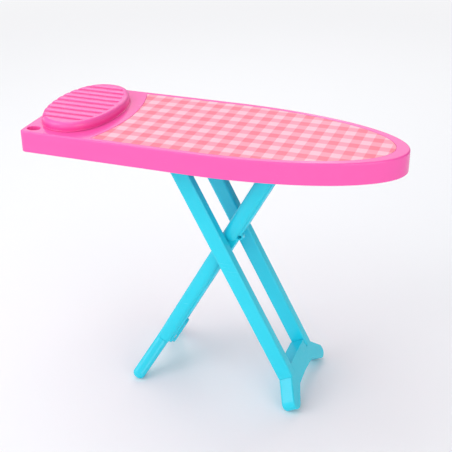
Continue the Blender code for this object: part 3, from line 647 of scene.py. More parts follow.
@dataclass
class Deck:
    """The pink deck with its skirt, the printed cover and the ribbed rest for the iron."""

    wall: float = 2.6 * MM
    corner: float = 5.5 * MM
    nose: float = 198 * MM
    edge: float = 1.8 * MM
    rim_edge: float = 0.7 * MM          # lower edge of the skirt
    inner_fillet: float = 1.6 * MM
    recess: float = 0.8 * MM
    recess_edge: float = 0.3 * MM
    side_border: float = 5.8 * MM
    nose_border: float = 13.4 * MM
    cover_from_end: float = 90 * MM
    cover_end_radius: float = 190 * MM
    cover_thickness: float = 0.35 * MM
    cover_edge: float = 0.1 * MM
    hole: Point = (14 * MM, 11 * MM)
    hole_place: Point = (10.8 * MM, 11.6 * MM)
    hole_edge: float = 0.9 * MM
    collar_wall: float = 1.8 * MM
    collar_depth: float = 9 * MM
    collar_edge: Point = (0.5 * MM, 0.1 * MM)        # rounding of its low and of its buried end
    boss_radius: float = 4 * MM
    boss_length: float = 4.3 * MM
    boss_edge: Point = (0.4 * MM, 0.1 * MM)
    pilot: float = 1.25 * MM
    nose_steps: int = 128
    corner_steps: int = 12
    bow_steps: int = 48                 # of the cover's curved end, and round the hanging hole
    pilot_steps: int = 16

    def __post_init__(self) -> None:
        """Reads the deck's place from the frame."""
        self.low, self.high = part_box("board_shell")
        self.top = self.high.z
        self.half_width = self.high.y
        self.nose_x = self.high.x - self.nose
        self.ceiling = self.top - self.wall
        self.cover_top = self.top - self.recess + GAP + self.cover_thickness

    def nose_points(self, half: float, reach: float) -> list[Point]:
        """The rounded nose from the front side to the back side."""
        turns = [math.radians(-90 + 180 * i / self.nose_steps) for i in range(self.nose_steps + 1)]
        return [(self.nose_x + reach * math.cos(a), half * math.sin(a)) for a in turns]

    def outline(self, inset: float) -> list[Point]:
        """Plan outline of the deck, drawn in by the inset."""
        half = self.half_width - inset
        radius = max(self.corner - inset, 2 * SQUARE)
        end = self.low.x + inset
        points = arc((end + radius, radius - half), radius, 180, 270, self.corner_steps)
        points += self.nose_points(half, self.nose - inset)
        return points + arc((end + radius, half - radius), radius, 90, 180, self.corner_steps)

    def cover_outline(self, inset: float) -> list[Point]:
        """Plan outline of the cover and of its recess."""
        half = self.half_width - self.side_border - inset
        points = self.nose_points(half, self.nose - self.nose_border - inset)
        radius = self.cover_end_radius + inset
        bow = math.degrees(math.asin(half / radius))
        centre = self.low.x + self.cover_from_end - self.cover_end_radius
        return points + arc((centre, 0), radius, bow, -bow, self.bow_steps)

    def shell_levels(self) -> list[Level]:
        """The moulding's section from the ceiling, down inside the skirt, round its rim and up outside."""
        fillet, rim, edge = (rounding(size, 8) for size in (self.inner_fillet, self.rim_edge, self.edge))
        places = [(self.wall + off, self.ceiling - drawn) for drawn, off in fillet]
        places += [(self.wall - drawn, self.low.z + off) for drawn, off in rim]
        places += [(off, self.low.z + drawn) for drawn, off in rim]
        places += [(drawn, self.top - off) for drawn, off in edge]
        return [(self.outline(inset), height) for inset, height in places]

    def flared(self, outline: Outline, floor: float, edge: float) -> Shape:
        """A cutter with this floor whose mouth at the deck's face is rounded outwards."""
        levels = [(outline(0), floor)]
        levels += [(outline(-drawn), self.top - off) for drawn, off in rounding(edge, 5)]
        levels.append((outline(-edge), self.top + self.wall))
        return loft(levels)

    def boss_places(self) -> list[Point]:
        """Plan places of the screws that hold the rails and brackets."""
        corners = [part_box(name) for name in rail_and_bracket_screws()]
        return [((low.x + high.x) / 2, (low.y + high.y) / 2) for low, high in corners]

    def build_shell(self) -> None:
        """The one moulding: face, skirt, bosses and the collar round the hanging hole."""
        shell = to_object("deck_moulding", loft(self.shell_levels()))
        hole_at = (self.low.x + self.hole_place[0], -self.half_width + self.hole_place[1])

        def hole_outline(inset: float) -> list[Point]:
            """Outline of the hanging hole."""
            return oval(hole_at, self.hole[0] / 2 - inset, self.hole[1] / 2 - inset, self.bow_steps)

        buried = self.ceiling + self.wall / 2
        boss_low = self.ceiling - self.boss_length
        places = self.boss_places()
        added = [slab(lambda inset, at=place: circle(at, self.boss_radius - inset), boss_low, buried,
                      self.boss_edge, steps=3) for place in places]
        added.append(slab(lambda inset: hole_outline(inset - self.collar_wall),
                          self.ceiling - self.collar_depth, buried, self.collar_edge, steps=3))
        combine(shell, added, Join.ADD)
        cut = [self.flared(hole_outline, self.ceiling - 2 * self.collar_depth, self.hole_edge),
               self.flared(self.cover_outline, self.top - self.recess, self.recess_edge)]
        pilots = [circle(place, self.pilot, self.pilot_steps) for place in places]
        cut += [loft([(pilot, boss_low - self.boss_length), (pilot, self.ceiling - GAP)])
                for pilot in pilots]
        combine(shell, cut, Join.CUT)
        dress(shell, "board", Slot.PINK, ["board_shell"])

    def build_cover(self) -> None:
        """The printed sheet in its recess."""
        sheet = slab(lambda inset: self.cover_outline(GAP + inset), self.cover_top - self.cover_thickness,
                     self.cover_top, (self.cover_edge, self.cover_edge), steps=3)
        dress(to_object("gingham_cover", sheet), "board", Slot.COVER, ["cover_sheet"])


@dataclass
class IronRest:
    """Oval pad whose ribs run along the board; its top comes from a rule in Geometry Nodes."""

    fullness: float = 2.2
    shoulder: float = 4.5 * MM
    pitch: float = 11.85 * MM
    groove_half: float = 2.1 * MM
    groove_wall: float = 1.0 * MM        # how far a groove's side leans
    groove_depth: float = 2.0 * MM
    crown: float = 0.9 * MM
    band: float = 5.6 * MM               # plain rim round the grooves' nose ends
    groove_run_out: float = 1.8 * MM
    grooves_half: float = 4.5            # pitches from the middle within which grooves are cut
    blend: float = 0.4 * MM
    foot_flare: float = 1.1 * MM
    foot_depth: float = 0.45             # how much painted shade the foot gets
    weld: float = 0.004 * MM
    crowding: Point = (0.6, 0.5)         # of the grid's lines towards the rim, along X and along Y
    end_change: float = 30.0             # how fast the rule changes between the grooves' two ends
    side_fade: float = 0.1               # pitches over which the outermost grooves fade
    least_ring: float = 0.05             # keeps the middle from a division by nothing
    least_slope: float = 0.001
    across: int = 88
    along: int = 620

    def __post_init__(self) -> None:
        """Reads the rest's place from the frame."""
        low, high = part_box("iron_rest")
        self.low, self.high = low, high
        self.centre = (low + high) / 2
        self.half_x = (high.x - low.x) / 2
        self.half_y = (high.y - low.y) / 2

    @staticmethod
    def crowded(share: Value, crowding: float) -> Value:
        """A place from -0.5 to 0.5 as one from -1 to 1, with its lines closer towards both ends."""
        return (share * math.pi).sine() * crowding + share * (2 * (1 - crowding))

    def tree(self) -> bpy.types.NodeTree:
        """Node group that turns a flat grid of one by one into the ribbed top."""
        tree = bpy.data.node_groups.new("ribbed_top", "GeometryNodeTree")
        tree.interface.new_socket("Geometry", in_out="OUTPUT", socket_type="NodeSocketGeometry")
        sizes = {"Half Length": self.half_x, "Half Width": self.half_y, "Shoulder": self.shoulder,
                 "Rib Pitch": self.pitch, "Groove Half Width": self.groove_half,
                 "Groove Wall": self.groove_wall, "Groove Depth": self.groove_depth,
                 "Crown": self.crown, "Band": self.band, "Run Out": self.groove_run_out}
        for name, size in sizes.items():
            socket = tree.interface.new_socket(name, in_out="INPUT", socket_type="NodeSocketFloat")
            socket.default_value = size
        tree.interface.new_socket("Finish", in_out="INPUT", socket_type="NodeSocketMaterial")
        book = NodeBook(tree)
        given = book.node("NodeGroupInput", {}, {}).socket.node
        half_x, half_y, shoulder, pitch, groove, wall, depth, crown, band, run_out, finish = (
            Value(book, given.outputs[name]) for name in (*sizes, "Finish"))
        grid = book.node("GeometryNodeMeshGrid", {}, {"Size X": 1.0, "Size Y": 1.0,
                                                      "Vertices X": self.across, "Vertices Y": self.along})
        u, v, _ = book.axes(book.node("GeometryNodeInputPosition", {}, {}))
        # The grid's lines crowd towards the rim, where the top bends down.
        y_share = self.crowded(v, self.crowding[1])
        x_reach = (1.0 - abs(y_share) ** self.fullness).at_least(0.0) ** (1 / self.fullness)
        x_share = self.crowded(u, self.crowding[0]) * x_reach
        x = x_share * half_x
        y = y_share * half_y
        # How far inside the rim each point lies, from the oval's rule and its slope.
        ring = (abs(x_share) ** self.fullness + abs(y_share) ** self.fullness) ** (1 / self.fullness)
        slope_x = abs(x_share) ** (self.fullness - 1) / half_x
        slope_y = abs(y_share) ** (self.fullness - 1) / half_y
        steepest = (slope_x * slope_x + slope_y * slope_y) ** 0.5
        slope = steepest / ring.at_least(self.least_ring) ** (self.fullness - 1)
        inside = ((1.0 - ring) / slope.at_least(self.least_slope)).at_least(0.0)
        short = (shoulder - inside).at_least(0.0)
        drop = shoulder - (shoulder * shoulder - short * short).at_least(0.0) ** 0.5
        # Grooves run out before the rim on the nose side, and go through it at the square end.
        from_groove = abs((y / pitch - (y / pitch).calc("ROUND")) * pitch)
        notch = depth * ((groove - from_groove) / wall).share().eased()
        rib = crown * (1.0 - from_groove / (pitch * 0.5)) ** 2.0
        ends = ((inside - band) / run_out).share()
        right = (x_share * self.end_change + 0.5).share()
        outermost = ((pitch * self.grooves_half - abs(y)) / (pitch * self.side_fade)).share()
        keep = (1.0 - right * (1.0 - ends.eased())) * outermost
        carved = (notch + rib) * keep
        through = (1.0 - right) * carved
        lowered = (drop + through).at_least(drop.calc("SMOOTH_MAX", carved, self.blend))
        place = book.vector(x, y, -1.0 * lowered)
        # Painted shade: the grooves' share of their depth is stored for the material, which darkens the
        # grooves with it.
        told = book.node("GeometryNodeStoreNamedAttribute", {"data_type": "FLOAT", "domain": "POINT"},
                         {"Geometry": grid, "Name": "depth", "Value": notch / depth * keep})
        moved = book.node("GeometryNodeSetPosition", {}, {"Geometry": told, "Position": place})
        real = book.node("GeometryNodeRealizeInstances", {}, {"Geometry": moved})
        done = book.node("GeometryNodeSetMaterial", {}, {"Geometry": real, "Material": finish})
        book.node("NodeGroupOutput", {}, {0: done})
        return tree

    def build(self) -> None:
        """Makes the ribbed top, then its side wall, its flared foot and its base."""
        holder = to_object("ribbed_rest", bmesh.new())
        run_group(holder, self.tree(), {"Finish": Finishes.of(Slot.PINK)})
        body = bmesh.new()
        body.from_mesh(holder.data)
        bmesh.ops.remove_doubles(body, verts=body.verts, dist=self.weld)
        bmesh.ops.translate(body, verts=body.verts, vec=Vector((self.centre.x, self.centre.y, self.high.z)))
        self.add_wall(body)
        bmesh.ops.recalc_face_normals(body, faces=body.faces)
        body.to_mesh(holder.data)
        body.free()
        dress(holder, "board", Slot.PINK, ["iron_rest"])

    def add_wall(self, body: Shape) -> None:
        """Carries the top's edge down to the deck, with a small flare at the foot, and closes it."""
        flare = self.foot_flare
        levels = [(0.0, self.low.z + 2 * flare)]
        levels += [(drawn, self.low.z + off) for drawn, off in rounding(flare, 5)]
        rim = {vert for edge in body.edges if edge.is_boundary for vert in edge.verts}
        ring = sorted(rim, key=lambda vert: math.atan2(vert.co.y - self.centre.y,
                                                       vert.co.x - self.centre.x))
        depth = body.verts.layers.float["depth"]
        reached = 0.0
        for outwards, height in levels:
            lower = [body.verts.new(vert.co) for vert in ring]
            for vert in lower:
                away = Vector((vert.co.x - self.centre.x, vert.co.y - self.centre.y, 0))
                vert.co += away.normalized() * (outwards - reached)
                vert.co.z = height
                # Painted shade where the rest's foot meets the deck: the foot's rings take part of the
                # recess shade.
                vert[depth] = self.foot_depth
            for i, vert in enumerate(ring):
                body.faces.new((ring[i - 1], vert, lower[i], lower[i - 1]))
            ring = lower
            reached = outwards
        body.faces.new(ring)


@dataclass(frozen=True)
class Axis:
    """A leg frame's own axes: X runs down its slope, and Y lies along its pivot."""

    place: Vector
    turn: float

    @classmethod
    def along(cls, place: Vector, start: Vector, end: Vector) -> "Axis":
        """Axes at a place whose X points from start to end."""
        slope = end - start
        return cls(place, math.atan2(-slope.z, slope.x))

    @property
    def matrix(self) -> Matrix:
        """Takes the frame's own axes to the world's."""
        return Matrix.Translation(self.place) @ Matrix.Rotation(self.turn, 4, "Y")

    @property
    def floor(self) -> float:
        """How far down the slope the floor lies."""
        return self.place.z / math.sin(self.turn)


@dataclass(frozen=True)
class FootJoint:
    """The peg of a foot bar in its leg, and the sunk screw that holds it."""

    step: float                  # where the leg ends, down the slope
    inside: float
    width: float
    leg_depth: float
    bar_depth: float
    lift: float                  # middle of the bar's depth
    face: int                    # side of the frame on which the screw's head lies
    length: float = 16 * MM
    wall: float = 2.2 * MM
    head_hole: float = 2.8 * MM
    sink: float = 1.7 * MM

    def box(self, side: Side, grow: float, past: float) -> Shape:
        """The peg, or its socket where it is grown by the gap."""
        half = self.bar_depth / 2 - self.wall + grow
        near, far = side.span(self.inside + self.wall - grow, self.inside + self.width - self.wall + grow)
        return block((self.step - self.length - grow, near, self.lift - half),
                     (self.step + past, far, self.lift + half))

    def screw_hole(self, side: Side) -> Shape:
        """The round sink over the screw's head."""
        centre = (self.step - self.length / 2, side.value * (self.inside + self.width / 2))
        seat = self.face * (self.leg_depth / 2 - self.sink)
        ends = sorted((seat, self.face * self.leg_depth))
        return loft([(circle(centre, self.head_hole), height) for height in ends])


@dataclass(frozen=True)
class FootShape:
    """Sizes of a foot bar in its frame's plane; distances along the slope are above the floor."""

    top: float
    under: float
    toe_radius: float
    toe_reach: float
    toe_rounds: tuple[float, float]      # rounding of the toes' edges, low and high in the frame's own Z
    grow: float = 0.0                    # how far the low side stands out beyond the bar's depth
    bar_round: float = 1.6 * MM          # rounding of the crosspiece's edges
    blend: float = 12 * MM               # y over which the one grows into the other
    arch: float = 1.5 * MM
    flat: float = 0.5 * MM
    crotch_round: float = 3 * MM

    def outline(self, axis: Axis, joint: FootJoint, outside: float) -> list[Point]:
        """Both halves of the bar's outline, as (down the slope, y).

        Args:
            axis: The frame's axes.
            joint: Where the bar meets the leg.
            outside: Outer face of the leg.

        Returns:
            The closed outline.
        """
        lean = min(axis.turn, math.pi - axis.turn)
        floor_side = int(axis.turn > math.pi / 2)
        under_half = joint.bar_depth / 2 + (joint.lift if floor_side else self.grow - joint.lift)
        rounding = self.toe_rounds[floor_side] * (math.sin(lean) + math.cos(lean) - 1)
        drop = (under_half * math.cos(lean) - rounding - self.flat) / math.sin(lean)
        toe = (axis.floor - drop - self.toe_radius, self.toe_reach)
        step = joint.step + GAP
        shoulder = (step, outside)
        crotch = (axis.floor - self.under, joint.inside)
        start = self.touch(shoulder, toe, -1)
        end = self.touch(crotch, toe, 1) - 360
        half = [(axis.floor - self.top, 0), (axis.floor - self.top, joint.inside - GAP),
                (step, joint.inside - GAP), shoulder]
        half += arc(toe, self.toe_radius, start, end, 36)
        half += [crotch, (axis.floor - self.under - self.arch, 0)]
        whole = half + [(x, -y) for x, y in reversed(half[1:-1])]
        crotch_at = len(half) - 2
        mirrored = 2 * (len(half) - 1)
        return filleted(whole, {crotch_at: self.crotch_round, mirrored - crotch_at: self.crotch_round})

    def ways_in(self, outline: Sequence[Point], joint: FootJoint) -> list[Vector]:
        """The way into the outline at each of its points; beside the leg it runs straight across."""
        count = len(outline)
        beside = [x < joint.step + 2 * GAP for x, _ in outline]
        ways = []
        for i, (_, y) in enumerate(outline):
            chord = Vector(outline[(i + 1) % count]) - Vector(outline[i - 1])
            across = Vector((0, -math.copysign(1, y) if y else 0))
            ways.append(across if beside[i] else Vector((-chord.y, chord.x)).normalized())
        middle = Vector((sum(x for x, _ in outline) / count, 0))
        lowest = max(range(count), key=lambda i: outline[i][0])
        if ways[lowest].dot(middle - Vector(outline[lowest])) < 0:
            ways = [way if by_leg else -way for way, by_leg in zip(ways, beside)]
        return ways

    def rolled(self, outline: Sequence[Point], joint: FootJoint, steps: int = 8) -> Shape:
        """The bar as a body whose long edges are rounded, more on the toes than on the crosspiece.

        Args:
            outline: The bar's outline in the frame's plane.
            joint: Where the bar meets the leg.
            steps: Segments of each rounding.

        Returns:
            The closed body in the frame's own axes.
        """
        low = joint.lift - joint.bar_depth / 2 - self.grow
        high = joint.lift + joint.bar_depth / 2
        inward = self.ways_in(outline, joint)
        shares = [min(max((abs(y) - joint.inside) / self.blend, 0.0), 1.0) for _, y in outline]
        widths = [[self.bar_round + (toe - self.bar_round) * share for share in shares]
                  for toe in self.toe_rounds]

        def ring(width: Sequence[float], across: float, face: float, way: int, rise: float) -> list[Vector]:
            """One ring of the body, drawn in and set off the face by shares of each point's rounding."""
            drawn = [Vector(point) + inward[i] * width[i] * across for i, point in enumerate(outline)]
            return [Vector((*point, face + way * width[i] * rise)) for i, point in enumerate(drawn)]

        bend = rounding(1.0, steps)
        rings = [ring(widths[0], off, low, 1, drawn) for drawn, off in bend]
        return skinned(rings + [ring(widths[1], drawn, high, -1, off) for drawn, off in bend])

    def touch(self, corner: Point, toe: Point, turn: int) -> float:
        """Angle, seen from the toe's centre, at which the line from the corner touches the toe's circle."""
        dx = corner[0] - toe[0]
        dy = corner[1] - toe[1]
        return math.degrees(math.atan2(dy, dx) + turn * math.acos(self.toe_radius / math.hypot(dx, dy)))


@dataclass
class LegFrame:
    """What the two leg frames share: their axes, their foot bar and how its pieces are dressed."""

    body: str
    axis: Axis
    arm: float
    joint: FootJoint
    foot: FootShape
    outside: float
    edge: float = 1.8 * MM
    bore: float = 3.3 * MM
    pin_bore: float = 3.5 * MM

    def __post_init__(self) -> None:
        """Takes a leg's inner face and its section from the foot joint."""
        self.inside = self.joint.inside
        self.width = self.joint.width
        self.depth = self.joint.leg_depth

    @property
    def kind(self) -> str:
        """First word of the names of the frame's solids."""
        return self.body.split("_")[0]

    def change(self, piece: Piece, join: Join, *tools: Shape) -> None:
        """Adds shapes in the frame's own axes to a piece, or cuts them from it."""
        combine(piece, tools, join, self.axis.matrix)

    def build_foot_bar(self) -> None:
        """The crosspiece with two splayed toes, cut flat where it stands."""
        outline = self.foot.outline(self.axis, self.joint, self.outside)
        bar = to_object(f"{self.kind}_foot_moulding", self.foot.rolled(outline, self.joint),
                        self.axis.matrix)
        pegs = [self.joint.box(side, 0.0, self.joint.wall) for side in Side]
        self.change(bar, Join.ADD, *self.stiffeners(), *pegs)
        combine(bar, [block((-1.0, -1.0, -1.0), (1.0, 1.0, 0.0))], Join.CUT)
        dress(bar, self.body, Slot.TURQUOISE, [f"{self.kind}_foot_bar"])

    def stiffeners(self) -> list[Shape]:
        """What stands proud of the crosspiece, in the frame's own axes."""
        return []


@dataclass
class OuterFrame(LegFrame):
    """The frame whose top slides under the square end: two plain legs outside the other frame."""

    pin_depth: float = 7.3 * MM
    mark_radius: float = 4.6 * MM
    mark_height: float = 0.12 * MM
    mark_root: float = 1 * MM            # how deep it starts inside the leg
    mark_edge: float = 0.1 * MM
    under_round: float = 1.7              # rounding of the under edges, by the edge radius
    over_round: float = 1.2               # rounding of the upper edges, by the edge radius

    def outline(self, inset: float) -> list[Point]:
        """Side view of a leg, its under edges drawn in more than its upper ones."""
        half = self.depth / 2
        drawn = half - inset * (self.under_round + self.over_round) / 2
        shift = inset * (self.under_round - self.over_round) / 2
        points = rounded_bar(inset - self.arm - half, self.joint.step, drawn, (drawn, SQUARE))
        return [(x, y + shift) for x, y in points]

    def build_leg(self, side: Side) -> None:
        """One straight leg with its bores, its socket and the faint mark over the pivot pin."""
        near, far = side.span(self.inside, self.outside)
        leg = to_object(f"outer_leg_moulding_{side.tag}",
                        slab(self.outline, near, far, (self.edge, self.edge), Plane.SIDE), self.axis.matrix)
        mark = slab(lambda inset: circle((0, 0), self.mark_radius - inset, 48),
                    *side.span(self.outside - self.mark_root, self.outside + self.mark_height),
                    (self.mark_edge, self.mark_edge), Plane.SIDE, 3)
        self.change(leg, Join.ADD, mark)
        bore = [(circle((-self.arm, 0), self.bore), height) for height in (near - GAP, far + GAP)]
        pin = [(circle((0, 0), self.pin_bore), height)
               for height in side.span(self.inside - GAP, self.inside + self.pin_depth)]
        self.change(leg, Join.CUT, loft(bore, Plane.SIDE), loft(pin, Plane.SIDE),
                    self.joint.box(side, GAP, GAP), self.joint.screw_hole(side))
        dress(leg, self.body, Slot.TURQUOISE, [f"outer_leg_{side.tag}"])


@dataclass
class InnerFrame(LegFrame):
    """The frame that hinges under the nose: two flat rails with half-round swells outside."""

    neck: tuple[float, float] = (8 * MM, 4.5 * MM)        # where the swells end, over and under the pivot
    hook_place: Point = (-18 * MM, -0.6 * MM)             # from the pivot and from the core's face
    hook_radius: float = 4.2 * MM
    hook_wall: float = 1.9 * MM
    hook_edge: float = 0.5 * MM
    flange: float = 2.3 * MM              # how far the core stands out beside the swells
    swell_draw: float = 6.4 * MM          # how far the swell's round side is drawn in
    bush_room: float = 6.9 * MM
    web_place: float = 50 * MM            # middle of the crosspiece's web, above the floor
    web_size: Point = (37 * MM, 23 * MM)
    web_rise: float = 2.6 * MM
    web_edge: float = 2.2 * MM
    core_edge: float = 0.9 * MM
    bore_steps: int = 30

    def core_outline(self, inset: float) -> list[Point]:
        """Side view of the flat core."""
        half = self.depth / 2
        return rounded_bar(inset - half, self.joint.step, half - inset, (half - inset, SQUARE))

    def stiffeners(self) -> list[Shape]:
        """The bowed web on the crosspiece's lower face."""
        middle = self.axis.floor - self.web_place
        low = self.joint.lift

        def web_outline(inset: float) -> list[Point]:
            """Plan of the web: an oval that fits between the rails."""
            return oval((middle, 0), self.web_size[0] / 2 - inset, self.web_size[1] / 2 - inset)

        return [slab(web_outline, low, self.depth / 2 + self.web_rise, (SQUARE, self.web_edge))]

    def swell(self, side: Side, start: float, end: float, radii: tuple[float, float]) -> Shape:
        """One half-round swell.

        Args:
            side: The rail that it is on.
            start: Its upper end, down the slope.
            end: Its lower end.
            radii: Corner radii at those ends.

        Returns:
            The closed body in the frame's own axes.
        """
        half = (self.depth - self.flange) / 2
        face = self.inside + self.width
        height = self.outside - face
        ends = [float(radius > 1 * MM) for radius in radii]

        def section(inset: float) -> list[Point]:
            """The swell's outline, drawn in at its sides and at its round ends."""
            bar = rounded_bar(start + inset * ends[0], end - inset * ends[1], half - inset,
                              (max(radii[0] - inset, SQUARE), max(radii[1] - inset, SQUARE)))
            return [(x, y - self.flange / 2) for x, y in bar]

        levels = [(section(0), side.value * (face - self.width / 4))]
        levels += [(section(self.swell_draw * (1 - math.cos(a))),
                    side.value * (face + height * math.sin(a))) for a in quarter(10)]
        return loft(levels, Plane.SIDE)

    def add_hook(self, rail: Piece, side: Side) -> None:
        """The small eye on the rail's lower face, just above the pivot."""
        place = (self.arm + self.hook_place[0], self.depth / 2 + self.hook_place[1])
        near = self.inside + 2 * self.core_edge
        far = self.inside + self.width - 2 * self.core_edge
        eye = slab(lambda inset: circle(place, self.hook_radius - inset), *side.span(near, far),
                   (self.hook_edge, self.hook_edge), Plane.SIDE, 3)
        self.change(rail, Join.ADD, eye)
        hole = circle(place, self.hook_radius - self.hook_wall)
        heights = (side.value * (near + self.core_edge), side.value * self.outside)
        self.change(rail, Join.CUT, loft([(hole, height) for height in heights], Plane.SIDE))

    def build_rail(self, side: Side) -> None:
        """One rail: core, two swells, the hinge and pivot bores, the socket and the screw's sink."""
        face = self.inside + self.width
        core = slab(self.core_outline, *side.span(self.inside, face), (self.core_edge, self.core_edge),
                    Plane.SIDE)
        rail = to_object(f"inner_rail_moulding_{side.tag}", core, self.axis.matrix)
        half = (self.depth - self.flange) / 2
        over, under = self.neck
        self.change(rail, Join.ADD,
                    self.swell(side, -half, self.arm - over, (half, half - 0.2 * MM)),
                    self.swell(side, self.arm + under, self.joint.step - GAP / 2, (0.5 * MM, SQUARE)))
        if side is Side.FRONT:
            self.add_hook(rail, side)
        room = [(circle((self.arm, 0), self.bush_room), height)
                for height in side.span(face, self.outside + self.edge)]
        ends = side.span(self.inside - GAP, self.outside + GAP)
        bores = [loft([(circle((x, 0), radius, self.bore_steps), height) for height in ends], Plane.SIDE)
                 for x, radius in ((0.0, self.bore), (self.arm, self.pin_bore))]
        self.change(rail, Join.CUT, loft(room, Plane.SIDE), *bores,
                    self.joint.box(side, GAP, GAP), self.joint.screw_hole(side))
        dress(rail, self.body, Slot.TURQUOISE, [f"inner_rail_{side.tag}"])


@dataclass
class SoftenedSolids:
    """Small mouldings copied from their solids, with their faces joined up and their edges rounded."""

    width: float = 0.35 * MM
    steps: int = 3
    weld: float = 0.002 * MM
    flat_angle: float = math.radians(1)
    edge_angle: float = math.radians(40)

    def build(self, node: str, name: str, body: str, slot: Slot) -> None:
        """Makes one of them.

        Args:
            node: The solid.
            name: The new piece's name.
            body: The body that it rides on.
            slot: Its material slot.
        """
        source = frame["nodes"][node].data
        copy = bmesh.new()
        copy.from_mesh(source)
        bmesh.ops.remove_doubles(copy, verts=copy.verts, dist=self.weld)
        bmesh.ops.dissolve_limit(copy, angle_limit=self.flat_angle, verts=copy.verts, edges=copy.edges)
        bmesh.ops.connect_verts_concave(copy, faces=copy.faces)
        piece = to_object(name, copy)
        step = piece.modifiers.new("round_edges", "BEVEL")
        step.width = self.width
        step.segments = self.steps
        step.limit_method = "ANGLE"
        step.angle_limit = self.edge_angle
        step.miter_outer = "MITER_ARC"
        step.loop_slide = False
        settle(piece, step)
        dress(piece, body, slot, [node])


@dataclass
class ScrewSet:
    """Pan-head screws with a cross recess, set on points by Geometry Nodes, one piece for each body."""

    head_radius: float = 2.5 * MM
    head_height: float = 1.5 * MM
    shank_radius: float = 1.1 * MM
    length: float = 6.5 * MM
    thread_pitch: float = 0.8 * MM
    thread_depth: float = 0.16 * MM
    cross_length: float = 3.0 * MM
    cross_width: float = 0.7 * MM
    cross_depth: float = 0.9 * MM
    fullness: float = 0.8            # the smaller, the flatter the head
    seed: int = 7

    def master(self) -> Piece:
        """One screw along +Z, its seat at the origin."""
        profile = [(self.head_radius * math.cos(a), -self.head_height * math.sin(a) ** self.fullness)
                   for a in quarter(8)[-2::-1]]
        turns = int((self.length - 2 * self.shank_radius) / self.thread_pitch)
        for i in range(turns):
            start = i * self.thread_pitch
            profile.append((self.shank_radius - self.thread_depth, start + 0.1 * self.thread_pitch))
            profile.append((self.shank_radius, start + 0.5 * self.thread_pitch))
        profile.append((self.shank_radius - self.thread_depth, turns * self.thread_pitch))
        profile.append((0.3 * self.shank_radius, self.length))
        rings = [(circle((0, 0), radius, 24), height) for radius, height in profile]
        screw = to_object("screw_master", loft(rings))
        top = -self.head_height
        for along, across in ((self.cross_length, self.cross_width), (self.cross_width, self.cross_length)):
            slot = block((-along / 2, -across / 2, 2 * top),
                         (along / 2, across / 2, top + self.cross_depth))
            combine(screw, [slot], Join.CUT)
        screw.data.shade_smooth()
        screw.data.set_sharp_from_angle(angle=SHARP_ANGLE)
        return screw

    def tree(self) -> bpy.types.NodeTree:
        """Node group that sets a screw on every point, turned along its "aim"."""
        tree = bpy.data.node_groups.new("set_screws", "GeometryNodeTree")
        face = tree.interface
        face.new_socket("Geometry", in_out="INPUT", socket_type="NodeSocketGeometry")
        face.new_socket("Geometry", in_out="OUTPUT", socket_type="NodeSocketGeometry")
        face.new_socket("Screw", in_out="INPUT", socket_type="NodeSocketObject")
        face.new_socket("Finish", in_out="INPUT", socket_type="NodeSocketMaterial")
        face.new_socket("Seed", in_out="INPUT", socket_type="NodeSocketInt").default_value = self.seed
        book = NodeBook(tree)
        given = book.node("NodeGroupInput", {}, {}).socket.node
        points, screw, finish, seed = (Value(book, given.outputs[name])
                                       for name in ("Geometry", "Screw", "Finish", "Seed"))
        shape = book.node("GeometryNodeObjectInfo", {}, {"Object": screw}, "Geometry")
        aim = book.node("GeometryNodeInputNamedAttribute", {"data_type": "FLOAT_VECTOR"}, {"Name": "aim"})
        turn = book.node("FunctionNodeAlignRotationToVector", {"axis": "Z"}, {"Vector": aim})
        placed = book.node("GeometryNodeInstanceOnPoints", {},
                           {"Points": points, "Instance": shape, "Rotation": turn})
        spin = book.node("FunctionNodeRandomValue", {"data_type": "FLOAT"},
                         {"Min": 0.0, "Max": math.pi / 2, "Seed": seed}, 1)
        about = book.vector(0.0, 0.0, spin)
        spun = book.node("GeometryNodeRotateInstances", {},
                         {"Instances": placed, "Rotation": about, "Local Space": True})
        real = book.node("GeometryNodeRealizeInstances", {}, {"Geometry": spun})
        done = book.node("GeometryNodeSetMaterial", {}, {"Geometry": real, "Material": finish})
        book.node("NodeGroupOutput", {}, {0: done})
        return tree

    def seat(self, node: str, aim: Vector) -> Vector:
        """The seat under a screw's head, from its solid's box."""
        low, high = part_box(node)
        middle = (self.length - self.head_height) / 2
        return (low + high) / 2 - aim * middle

    def build(self, name: str, body: str, aims: dict[str, Vector]) -> None:
        """Sets the screws of one body.

        Args:
            name: The new piece's name.
            body: The body that they ride on.
            aims: The way each screw's point goes, by solid.
        """
        mesh = bpy.data.meshes.new(name)
        mesh.from_pydata([self.seat(node, aim) for node, aim in aims.items()], [], [])
        attribute = mesh.attributes.new("aim", "FLOAT_VECTOR", "POINT")
        for item, aim in zip(attribute.data, aims.values()):
            item.vector = aim
        holder = bpy.data.objects.new(name, mesh)
        bpy.context.scene.collection.objects.link(holder)
        master = self.master()
        inputs = {"Screw": master, "Finish": Finishes.of(Slot.STEEL), "Seed": self.seed}
        run_group(holder, self.tree(), inputs)
        bpy.data.objects.remove(master)
        dress(holder, body, Slot.STEEL, list(aims))


